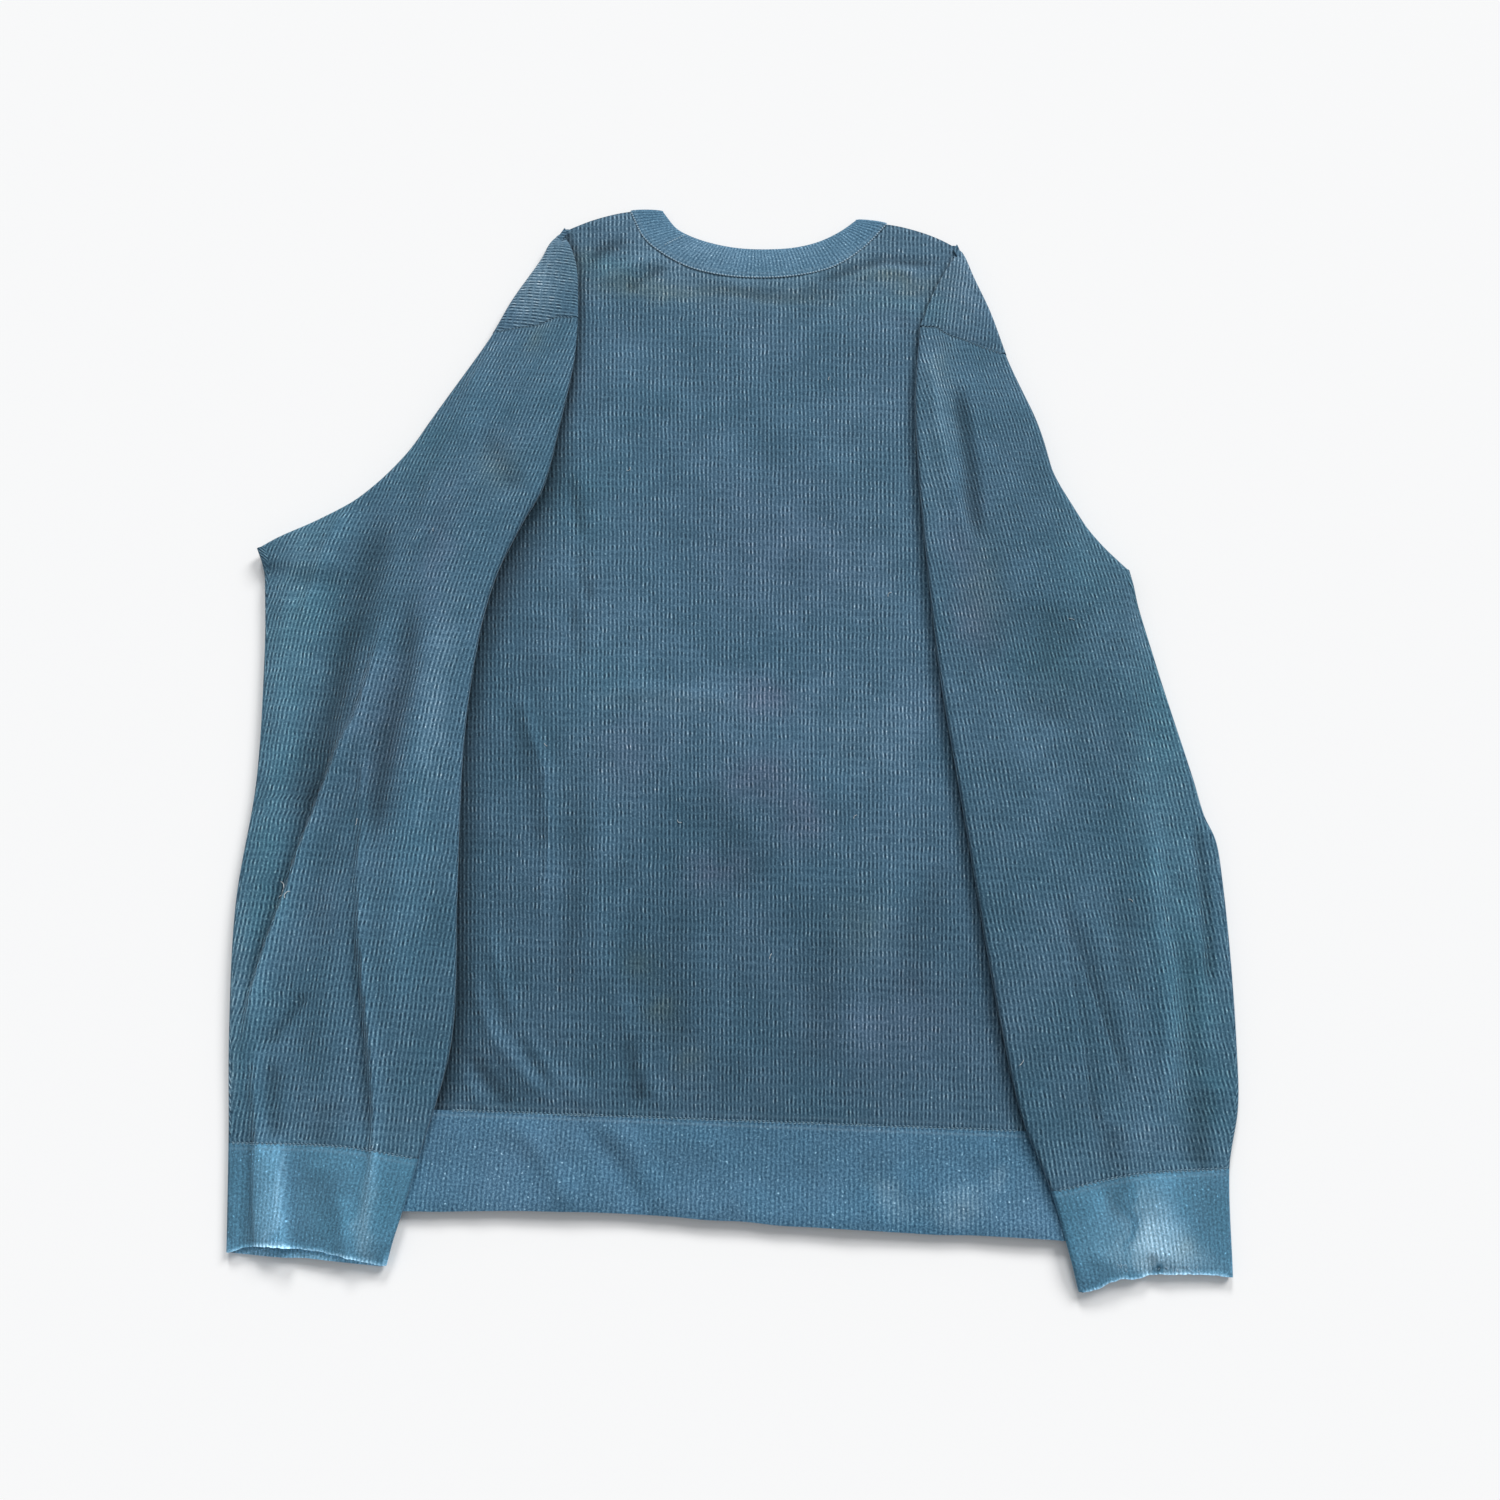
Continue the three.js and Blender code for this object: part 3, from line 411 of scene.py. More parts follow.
class Patch:
    """A net of places with, at each, the cloth's own coordinates (across, along the wales),
    the distance to the nearest seam, how much it shows, and its crest: painted light and shade,
    with the wear of the cuff rims."""

    def __init__(self, points, cloth, seam, shown=1.0, crest=0.0):
        self.points = np.array(points, float)
        shape = self.points.shape[:2]
        self.cloth = np.broadcast_to(cloth, shape + (2,))
        self.seam = np.broadcast_to(seam, shape)
        self.shown = np.broadcast_to(shown, shape)
        self.crest = np.broadcast_to(crest, shape)


def net_faces(rows, columns, start):
    index = start + np.arange(rows * columns).reshape(rows, columns)
    return np.stack([index[:-1, :-1], index[:-1, 1:], index[1:, 1:], index[1:, :-1]],
                    axis=-1).reshape(-1, 4)


def in_scene(name, mesh, material):
    """The finished mesh as an object of the scene, shaded smooth."""
    for polygon in mesh.polygons:
        polygon.use_smooth = True
    mesh.materials.append(material)
    piece = bpy.data.objects.new(name, mesh)
    bpy.context.scene.collection.objects.link(piece)
    return piece


def cloth_piece(name, patches, material, outside_up=True, wall=KNIT):
    """Patches joined where they meet, given the wall of the cloth on their inner side."""
    points, faces, cloth, seams, marks = [], [], [], [], {key: [] for key in (*STAINS, "crest")}
    start = 0
    for patch in patches:
        rows, columns = patch.points.shape[:2]
        faces.append(net_faces(rows, columns, start))
        start += rows * columns
        points.append(patch.points.reshape(-1, 3))
        cloth.append(patch.cloth.reshape(-1, 2))
        seams.append(patch.seam.reshape(-1))
        x, y = patch.points[..., 0], patch.points[..., 1]
        for key, blobs in STAINS.items():
            marks[key].append((stained(blobs, x, y) * patch.shown).reshape(-1))
        marks["crest"].append(patch.crest.reshape(-1))
    points = np.vstack(points) * MM
    faces = np.vstack(faces)
    mesh = bpy.data.meshes.new(name)
    mesh.from_pydata(points.tolist(), [], faces.tolist())
    corners = faces.reshape(-1)
    layer = mesh.uv_layers.new(name="cloth")
    layer.data.foreach_set("uv", (np.vstack(cloth)[corners] * MM).astype(np.float32).ravel())
    layer = mesh.uv_layers.new(name="seam")
    far = np.concatenate(seams)[corners] * MM
    layer.data.foreach_set("uv", np.stack([far, far], axis=1).astype(np.float32).ravel())
    for key, values in marks.items():
        held = mesh.attributes.new(key, "FLOAT", "POINT")
        held.data.foreach_set("value", np.concatenate(values).astype(np.float32))
    b = bmesh.new()
    b.from_mesh(mesh)
    bmesh.ops.remove_doubles(b, verts=b.verts, dist=2e-5)
    bmesh.ops.dissolve_degenerate(b, dist=1e-6, edges=b.edges)
    bmesh.ops.recalc_face_normals(b, faces=b.faces)
    b.normal_update()
    for edge in b.edges:
        edge.smooth = not (edge.is_boundary or edge.calc_face_angle(0) > SHARP)
    sign = 1 if outside_up else -1
    topmost = max(b.faces, key=lambda f: sign * f.calc_center_median().z + abs(f.normal.z) * 1e-4)
    if topmost.normal.z * sign < 0:
        bmesh.ops.reverse_faces(b, faces=b.faces)
    b.to_mesh(mesh)
    b.free()
    piece = in_scene(name, mesh, material)
    if wall:
        thick = piece.modifiers.new("cloth wall", "SOLIDIFY")
        thick.thickness = wall * MM
        thick.offset = -1
        thick.use_even_offset = False
    return piece


def half_turn(count):
    """Angles of the points between the two ends of a half turn."""
    return -math.pi / 2 + math.pi * np.arange(1, count) / count


def rounded(x, y, low, high, reach, angles):
    """Points round a folded edge at x, y that starts at height low and is 2 * high thick."""
    return [(x + reach * math.cos(a), y, low + high + high * math.sin(a)) for a in angles]


def rib_tube(name, rings, deep, material, crests=0.0):
    """A band this deep, from its rings of points, seam to free edge. Its ribs run straight
    down, so the ring at the seam gives every ring its place across."""
    points = np.stack(rings)
    arc = np.concatenate([[0], np.cumsum(np.linalg.norm(np.diff(points[0], axis=0), axis=-1))])
    across = np.broadcast_to(arc, points.shape[:2])
    seam = (np.linspace(0, 1, len(points)) * deep)[:, None]
    return cloth_piece(name, [Patch(points, np.stack([across, points[..., 1]], axis=-1), seam,
                                    1, crests)], material)


# ---- the body's outline ----

def slope_stretch(edge, y):
    slope = (edge(y + 1) - edge(y - 1)) / 2
    return np.minimum(2, np.hypot(1, slope))


def fold_centre(side, y):
    return side["fold"](y) - side["out"] * STACK / 2 * slope_stretch(side["fold"], y)


def seam_height(side, x, u):
    """The armhole seam where it shows, between the sleeve's inner edge and the fold."""
    (x0, y0), (x1, y1) = side["seam_in"], side["seam_out"]
    wave = sum(high * np.exp(-((u - at) / wide) ** 2) for at, wide, high in side["seam_wave"])
    return mix(y0, y1, (x - x0) / (x1 - x0)) + wave * np.sin(np.pi * np.clip(u, 0, 1)) ** 0.5


def body_edge(side, y, gap):
    y = np.asarray(y, float)
    cut = np.where(y <= UNDERARM, side["side"](y), side["armhole"](y)) - side["out"] * gap
    return np.where(y >= side["seam_out"][1] - 1e-6, fold_centre(side, y) - side["out"] * 3, cut)


def body_net(neck, neck_columns, shoulder_columns, levels):
    """Places of a body panel: its columns fan out from the hem to the shoulders and neck."""
    total = neck_columns + 2 * shoulder_columns
    curve, heading = neck["seam"]
    t = np.linspace(0, 1, neck_columns + 1)
    d = heading(t)
    foot = curve(t) + np.stack([d[:, 1], -d[:, 0]], axis=1) * 0.04
    ends = [np.array([float(body_edge(side, top, 0)), top])
            for side, top in zip(SIDES, (355, 350))]
    left = [mix(ends[0], foot[0], i / shoulder_columns) for i in range(shoulder_columns)]
    right = [mix(foot[-1], ends[1], i / shoulder_columns) for i in range(1, shoulder_columns + 1)]
    top = np.vstack([left, foot, right])
    rise = np.sin(np.pi * np.arange(shoulder_columns) / shoulder_columns) ** 0.8
    top[:shoulder_columns, 1] += 2.2 * rise
    top[-shoulder_columns:, 1] += 3.0 * rise[::-1]
    width = ends[1][0] - ends[0][0]
    share = (top[:, 0] - ends[0][0]) / width
    even = np.arange(total + 1) / total
    v = ((levels - levels[0]) / (levels[-1] - levels[0]))[:, None]
    u = mix(share[None, :], even[None, :], 0.35 * np.sqrt(1 - v))
    lv = levels[:, None]
    y = lv + (top[:, 1] - SHOULDER)[None, :] * v ** 3
    x = mix(body_edge(LEFT, y[:, :1], 0.2), body_edge(RIGHT, y[:, -1:], 0.2), u)
    seam = np.minimum((top[:, 1][None, :] - y), y - HEM_TOP)
    return x, y, np.maximum(seam, 0)


def body_levels(low_rows, high_rows):
    """Row heights that pass through the start of each shoulder fold."""
    marks = sorted({LEFT["seam_out"][1], RIGHT["seam_out"][1]})
    return np.concatenate([np.linspace(HEM_TOP, marks[0], low_rows)[:-1],
                           np.linspace(marks[0], marks[1], 4)[:-1],
                           np.linspace(marks[1], SHOULDER, high_rows)])


FLAP_LIFT = 0.8


def shoulder_flap(side, x, y, edge_column, deep):
    """The shoulder corner turned over with the sleeve: from the panel's edge round the fold.
    deep is the inner of the two layers that are turned over."""
    out = side["out"]
    rows = np.where(y[:, edge_column] >= side["seam_out"][1] - 1e-6)[0]
    y_fold = y[rows, edge_column]
    t = (y_fold - y_fold[0]) / (y_fold[-1] - y_fold[0])
    c = fold_centre(side, y_fold)
    stretch = slope_stretch(side["fold"], y_fold)
    corner = np.sqrt(1 - smooth(0.955, 1, t) ** 2 * 0.8)
    middle = (STACK + FLAP_LIFT) / 2
    reach = AIR / 2 if deep else middle
    ground = middle - reach
    start = np.stack([x[rows, edge_column], y_fold,
                      np.full(len(rows), TURN if deep else 0.0)], axis=1)
    columns = [start]
    columns += [np.stack([mix(start[:, 0], c, w), y_fold,
                          np.full(len(rows), mix(start[0, 2], ground, w))], axis=1)
                for w in (0.35, 0.7, 1.0)]
    for a in half_turn(10 if not deep else 4):
        columns.append(np.stack([c + out * reach * stretch * corner * np.cos(a), y_fold,
                                 np.full(len(rows), middle + reach * np.sin(a))], axis=1))
    base = float(fold_centre(side, side["seam_out"][1]))
    flat = []
    for u in np.linspace(1, 0, 22):
        first = seam_height(side, mix(side["seam_in"][0], base, u), u) + (2 if deep else LINK)
        yy = mix(first, y_fold[-1] - 4.5 * (1 - u) ** 0.5, t)
        far = side["flap"](yy) + out * (4 if deep else 1.6)
        xx = mix(np.where((far - c) * out > -2, c - out * 2, far), c, u)
        dome = (0 if deep else 1.1) * np.sin(np.pi * u) ** 0.7 * smooth(0, 0.3, 1 - t) * smooth(
            0, 0.12, t)
        dip = 0 if deep else -0.15 * np.exp(-((yy - first) / 1.3) ** 2)
        z = middle + reach + dome + dip + (0 if deep else 0.25) * slack(
            xx * 3, yy * 3) * smooth(0, 0.08, t)
        flat.append(np.stack([xx, yy, z], axis=1))
    columns += flat
    if not deep:
        rim = flat[-1]
        for a in np.linspace(0.25, 1, 5) * math.pi:
            columns.append(rim + np.array([0, 0, -1.7]) + np.stack(
                [np.full(len(rim), -out * 1.6 * math.sin(a)), np.zeros(len(rim)),
                 np.full(len(rim), 1.7 * math.cos(a))], axis=1))
    points = np.stack(columns, axis=1)
    thin = (1 - 0.6 * smooth(0.78, 1, t))[:, None]
    points[..., 2] = mix(points[:, :1, 2], points[..., 2], thin)
    # at the very corner the upper layers fall back from the edge
    points[..., 1] -= 0.82 * (points[..., 2] - points[:, :1, 2]).clip(0) * smooth(
        0.88, 1, t)[:, None]
    turn = side["flap_turn"]
    px, py = points[..., 0] - side["point"][0], points[..., 1] - side["point"][1]
    cloth = np.stack([px * math.cos(turn) - py * math.sin(turn),
                      px * math.sin(turn) + py * math.cos(turn)], axis=-1)
    seam = np.abs(points[..., 1] - np.array(
        [seam_height(side, mix(side["seam_in"][0], base, u), u)
         for u in np.clip((points[0, :, 0] - side["seam_in"][0]) / (base - side["seam_in"][0]),
                          0, 1)])[None, :])
    shown = np.zeros(points.shape[:2])
    if not deep:
        shown[:, 4:] = 1
    return Patch(points, cloth, seam, shown, 0)


# ---- pieces of the garment ----

def turned_edges(y):
    """Inner edges, left and right, of what is turned back: the sleeves, then the shoulders."""
    return [np.where(y > FLAP_FOOT, side["flap"](y), side["inner"](y)) for side in SIDES]


def open_between_sleeves(x, y):
    """1 where the back shows between the turned-back sleeves, 0 under them."""
    left, right = turned_edges(y)
    return smooth(2, 22, np.minimum(x - left, right - x))


def wales(x, y):
    """The body cloth's own coordinates: its wales spread a little toward the shoulders."""
    off_x, off_y = x - MIDDLE_X, y - MIDDLE_Y
    across, up = off_x + WALE_SLANT * off_y, off_y - WALE_SLANT * off_x
    return np.stack([MIDDLE_X + across / (1 + WALE_SPREAD * up), y], axis=-1)


def back_panel(material):
    levels = body_levels(132, 30)
    x, y, seam = body_net(BACK_NECK, 76, 17, levels)
    free = open_between_sleeves(x, y) * smooth(0, 16, seam + 7)
    folds = relief(BACK_FOLDS, x, y)
    lift = free * (0.9 + folds + slack(x, y))
    z = TURN + np.clip(lift, 0, None) - 0.2 * np.exp(-(seam / 2.0) ** 2) * free ** 0.2
    left, right = turned_edges(y)
    # painted shadow on the back along the sleeves' inner edges: strong beside the left sleeve and
    # widest near the height of the underarms, faint and narrow beside the right
    reach = mix(4, mix(8, 15, np.exp(-((y - 75) / 60) ** 2)), smooth(250, 130, y))
    painted_shadow_by_sleeves = (2.6 * np.exp(-(np.maximum(x - left, 0) / reach) ** 1.6)
            + 1.0 * np.exp(-(np.maximum(right - x, 0) / 3.5) ** 1.6))
    # where the back shows, its crest is the folds' painted light and shade, less this painted
    # shadow
    main = Patch(np.stack([x, y, z], axis=-1), wales(x, y), seam, 1,
                 free * fold_painted_light(folds) - painted_shadow_by_sleeves)
    hooks = [shoulder_flap(side, x, y, column, True)
             for side, column in ((LEFT, 0), (RIGHT, -1))]
    for hook, column in zip(hooks, (0, -1)):
        hook.points[:, 0] = main.points[-len(hook.points):, column]
    return cloth_piece("back", [main, *hooks], material)


def front_panel(material):
    levels = body_levels(66, 30)
    x, y, seam = body_net(FRONT_NECK, 44, 8, levels)
    main = Patch(np.stack([x, y, np.zeros_like(x)], axis=-1), wales(x, y), seam, 0)
    hooks = [shoulder_flap(side, x, y, column, False)
             for side, column in ((LEFT, 0), (RIGHT, -1))]
    return cloth_piece("front", [main, *hooks], material, outside_up=False)


def ground(x, y):
    """Height that a turned-back sleeve lies at: on two layers of body, then on the floor."""
    beside = np.maximum(0, np.maximum(LEFT["side"](y) - x, x - RIGHT["side"](y)))
    off = np.hypot(np.where(y > UNDERARM, 0, beside), np.maximum(0, HEM_END - 6 - y))
    fall = 24.0
    for side in SIDES:
        (ux, uy), (tx, ty), out = side["underarm"], side["tip"], side["out"]
        near = x * out >= ux * out - 30
        t = np.clip((x - ux) / (tx - ux), 0, 1)
        below = np.maximum(0, mix(uy, ty, t) - y)
        past = np.maximum(0, (x - tx) * out)
        off = np.where(near, np.minimum(off, np.hypot(past, below)), off)
        # the cloth drops sooner just below the corner of the underarm
        fall = fall - np.where(near, 14 * t * smooth(72, 14, ty - y), 0)
    return 2 * STEP * (1 - smooth(EDGE, EDGE + fall, off))


SLEEVE_EDGE = 2.6                 # round of a sleeve's inner edge
OUTER_EDGE = TURN / 2 + 0.5       # round of its outer edge
NO_SEAM = 20                      # distance that counts as away from every seam
SLEEVE_COURSES = 1.03             # how much closer its courses are than the body's
TAIL = 12                         # points along the layer turned under, beside the armhole
EDGE_LIFT = 3.6                   # how much a sleeve's edge is thicker than its two layers


def sleeve_lift(v):
    """How much the two layers of a sleeve stand apart at its edges, armhole to cuff."""
    return mix(FLAP_LIFT, EDGE_LIFT, smooth(0, 0.12, v)) * mix(1, 0.5, smooth(0.82, 1, v))


def sleeve_top(folds, x, y, u, v):
    """Upper surface of a sleeve above what it lies on, and its folds."""
    edges = smooth(0, 0.14, u) * smooth(0, 0.12, 1 - u)
    soft = np.sqrt(np.clip(np.sin(np.pi * np.clip(u, 0, 1)), 0, 1))
    body = 1.7 * soft * smooth(0, 0.1, v) * mix(1, 0.35, smooth(0.8, 1, v))
    fold = relief(folds, x, y) * edges * smooth(0, 0.05, v)
    waves = slack(x * 1.3, y * 0.7) * edges * smooth(0, 0.04, v)
    extra = np.maximum(body + fold + waves, -0.5 * sleeve_lift(v))
    return TURN + sleeve_lift(v) + extra, fold


def sleeve(name, side, folds, material):
    out = side["out"]
    seam_x = (side["seam_in"][0] + out * SLEEVE_EDGE,
              float(fold_centre(side, side["seam_out"][1])))
    tip_y = side["tip"][1]
    slant = tip_y - side["underarm"][1]

    def seam(u):
        return seam_height(side, mix(seam_x[0], seam_x[1], u), u) - LINK

    def end(u):
        return side["cuff_seam"](u) + LINK

    reach = float(seam(1.0) - end(1.0))
    tip_at = (float(seam(1.0)) - tip_y) / reach
    even = np.linspace(0, 1, 54)
    us = 0.55 * even + 0.45 * (1 - np.cos(np.pi * even)) / 2
    edge_turn = half_turn(10)

    def section(v, tail):
        yo = mix(float(seam(1.0)), float(end(1.0)), v)
        below = smooth(0, 34, tip_y - yo)
        stretch_fold = float(slope_stretch(side["fold"], max(yo, tip_y)))
        stretch_out = float(slope_stretch(side["outer"], min(yo, tip_y - 4)))
        turn_x = mix(STACK / 2 * stretch_fold, OUTER_EDGE * stretch_out, below)

        def out_x(y):
            edge = side["fold"](np.maximum(y, tip_y)) if tail else np.where(
                y > tip_y, side["fold"](np.maximum(y, tip_y)), side["outer"](np.minimum(y, tip_y)))
            return edge - out * turn_x

        def place(u):
            y = mix(seam(u), end(u), v)
            return mix(side["inner"](y) + out * SLEEVE_EDGE, out_x(y), u), y

        c = float(out_x(np.array(yo)))
        lift = float(sleeve_lift(v))
        x, y = place(us)
        low = ground(x, y)
        top, fold = sleeve_top(folds, x, y, us, v)
        dip = (0.15 * np.exp(-((seam(us) - y) / 1.4) ** 2)
               + 0.3 * np.exp(-((y - end(us)) / 3.0) ** 2))
        run, crest, shown = [], [], []

        def add(points, crests=0.0, seen=1.0):
            run.append(np.array(points, float).reshape(-1, 3))
            crest.append(np.broadcast_to(crests, len(run[-1])))
            shown.append(np.broadcast_to(seen, len(run[-1])))

        if tail:
            y_end = yo - slant * min(1, v / tip_at) ** 2
            hole = float(side["armhole"](y_end)) + out * ARM_GAP
            x_end = hole if (c - hole) * out > 1 else c - out
            w = np.linspace(0, 1, TAIL, endpoint=False)
            tail_x, tail_y = mix(x_end, c, w), mix(y_end, yo, w)
            add(np.stack([tail_x, tail_y, 0 * w], axis=1), 0, 0.4)
            high = (STACK + lift) / 2
            add([(c, yo, 0)])
            add(rounded(c, yo, 0, high, out * turn_x, edge_turn))
        # the sleeve's top face carries the painted highlights and painted shade of its folds
        add(np.stack([x, y, low + top - dip], axis=1)[::-1], fold_painted_light(fold[::-1]))
        high = (TURN + lift) / 2
        add(rounded(x[0], y[0], low[0], high, -out * SLEEVE_EDGE, edge_turn[::-1]))
        add(np.stack([x, y, low], axis=1), 0, 0.4)
        if tail:
            add(rounded(c, yo, TURN, AIR / 2, out * 0.3, half_turn(4)[::-1]))
            add([(c, yo, TURN)])
            add(np.stack([tail_x, tail_y, 0 * w + TURN], axis=1)[::-1], 0, 0.4)
        else:
            add(rounded(c, yo, low[-1], high, out * turn_x, edge_turn))
            add([run[0][0]], crest[0][0])
        return np.vstack(run), np.concatenate(crest), np.concatenate(shown)

    # above the underarm's corner a section ends in the layer turned under; below it is a tube
    head = [section(v, True) for v in np.linspace(0, tip_at, 50)]
    tube = [section(v, False) for v in np.linspace(tip_at, 1, 118)]

    def patch(sections, first_upper):
        points, crests, shown = (np.stack(part) for part in zip(*sections))
        face = slice(first_upper, first_upper + len(us))
        steps = np.linalg.norm(np.diff(points, axis=1), axis=-1)
        run = np.concatenate([np.zeros((len(points), 1)), np.cumsum(steps, axis=1)], axis=1)
        at_axis = np.array([np.interp(side["axis"](row[len(us) // 2, 1]) * -out,
                                      row[:, 0] * -out, arc)
                            for row, arc in zip(points[:, face], run[:, face])])
        across = (run - at_axis[:, None]) * out
        along = points[..., 1] * SLEEVE_COURSES
        row_u = np.zeros(points.shape[1])
        row_u[face] = us[::-1]
        far = np.minimum(np.abs(seam(row_u)[None, :] - points[..., 1]),
                         np.abs(points[..., 1] - end(row_u)[None, :]))
        return Patch(points, np.stack([across, along], axis=-1), far, shown, crests)

    first = TAIL + 1 + len(edge_turn)
    pieces = [patch(head, first), patch(tube, 0)]
    last_head, first_tube = pieces[0].points[-1], pieces[1].points[0]
    lip = np.stack([last_head[TAIL:first + 1], first_tube[-len(edge_turn) - 2:]])
    pieces.append(Patch(lip, lip[..., :2], NO_SEAM))
    tail = last_head[:TAIL + 1]
    closing = [tail, *(tail * [1, 1, 0] + np.array(
        [0, -1.8 * math.cos(a), TURN / 2 + TURN / 2 * math.sin(a)]) for a in half_turn(5)),
               tail * [1, 1, 0] + [0, 0, TURN]]
    closing = np.stack(closing)
    pieces.append(Patch(closing, closing[..., :2], NO_SEAM, 0.4))
    made = cloth_piece(name, pieces, material)
    return made, pieces[0].points[0, first:first + len(us)]


def closed_ring(*parts):
    """Runs of points joined end to end and back to the first point."""
    ring = np.vstack(parts)
    return np.vstack([ring, ring[:1]])


def cuff(name, side, folds, material):
    """A cuff whose mouth stands open a little, with its worn rim."""
    out = side["out"]
    us = np.linspace(0, 1, 66)
    edge_turn = half_turn(10)
    rings, crests = [], []
    for v in np.linspace(0, 1, 30):
        def place(u, end):
            y = mix(side["cuff_seam"](u) - LINK, end(u), v)
            inner, outer = side["inner"](y), side["outer"](y)
            return mix(inner + out * SLEEVE_EDGE, outer - out * OUTER_EDGE, u), y
        frayed = 0.5 * ripple(us * 160, 0 * us, 5, 31) * smooth(0.9, 1, v)
        x, y = place(us, side["cuff_upper"])
        y = y + frayed
        low = ground(x, y)
        edges = smooth(0, 0.14, us) * smooth(0, 0.12, 1 - us)
        fold = relief(folds, x, y) * edges
        lift = float(sleeve_lift(1.0)) * mix(1, 0.8, v)
        at, wide, open_by = side["mouth"]
        mouth = open_by * smooth(0.45, 1, v) * np.exp(-((us - at) / wide) ** 2)
        gape = 3.0 * smooth(0.4, 1, v) * np.sin(np.pi * us) ** 1.5
        soft = 0.6 * np.sqrt(np.sin(np.pi * us).clip(0, 1))
        ribs = 0.06 * np.sin(2 * np.pi * us * 165 / 4.2)
        waves = mix(slack(x * 1.3, y * 0.7), 0.8 * slack(x * 2.2, y * 0.6),
                    smooth(0, 0.4, v)) * edges
        top = TURN + lift + np.maximum(soft + fold + waves, -0.4 * lift) + mouth + ribs
        rolled = 0.5 * smooth(0.93, 1, v)
        dip = 0.3 * math.exp(-(v * CUFF_DEEP / 2.5) ** 2)
        high = (TURN + lift) / 2
        x_low, y_low = place(us, side["cuff_lower"])
        rings.append(closed_ring(
            np.stack([x, y, low + top - dip - rolled], axis=1)[::-1],
            rounded(x[0], y[0], low[0], high, -out * SLEEVE_EDGE, edge_turn[::-1]),
            np.stack([x_low, y_low, ground(x_low, y_low) + gape], axis=1),
            rounded(x[-1], y[-1], low[-1], high, out * OUTER_EDGE, edge_turn)))
        worn = 2.2 * smooth(0.955, 0.985, v)
        # fold crests on the cuff get an extra painted highlight
        shade = fold_painted_light(fold) + 0.7 * np.maximum(fold_painted_light(fold), 0)
        # painted light on the lower layer and edge rolls toward the mouth, where the upper layer
        # shades them
        mouth_painted_light = np.full(len(rings[-1]) - len(us), side["inside"] * smooth(0.8, 1, v))
        crests.append(np.concatenate([shade[::-1] + worn, mouth_painted_light]))
    made = rib_tube(name, rings, CUFF_DEEP, material, np.stack(crests))
    return made, rings[0][:len(us)]


def hem_band(material):
    xs = np.linspace(HEM_LEFT + TURN / 2, HEM_RIGHT - TURN / 2, 200)
    edge_turn = half_turn(8)
    rings = []
    for v in np.linspace(0, 1, 26):
        wavy = (5.0 * np.exp(-((xs + 60) / 110) ** 2) - 1.0 * smooth(170, 230, xs)
                + 0.5 * ripple(xs, 0 * xs, 22, 41)) * v
        y = HEM_TOP + (HEM_END - HEM_TOP) * v + wavy
        free = open_between_sleeves(xs, y) * mix(0.41, 1, smooth(0, 0.25, v))
        lift = free * (0.9 + 0.8 * math.sin(math.pi * v) + relief(HEM_FOLDS, xs, y)
                       + 0.8 * slack(xs * 1.2, y) * smooth(0, 0.1, v))
        dip = 0.2 * np.exp(-(v * HEM_DEEP / 2.5) ** 2)
        rolled = 0.5 * smooth(0.93, 1, v)
        raised = 2.0 * smooth(0.5, 1, v)
        top = TURN + np.maximum(lift, 0) - (dip + rolled) * free + 0.05 + raised
        rings.append(closed_ring(
            np.stack([xs, y, top], axis=1)[::-1],
            rounded(xs[0], y[0], 0, TURN / 2, -TURN / 2, edge_turn[::-1]),
            np.stack([xs, y, 0 * xs + raised], axis=1),
            rounded(xs[-1], y[-1], 0, TURN / 2, TURN / 2, edge_turn)))
    return rib_tube("hem", rings, HEM_DEEP, material), rings[0][:len(xs)]


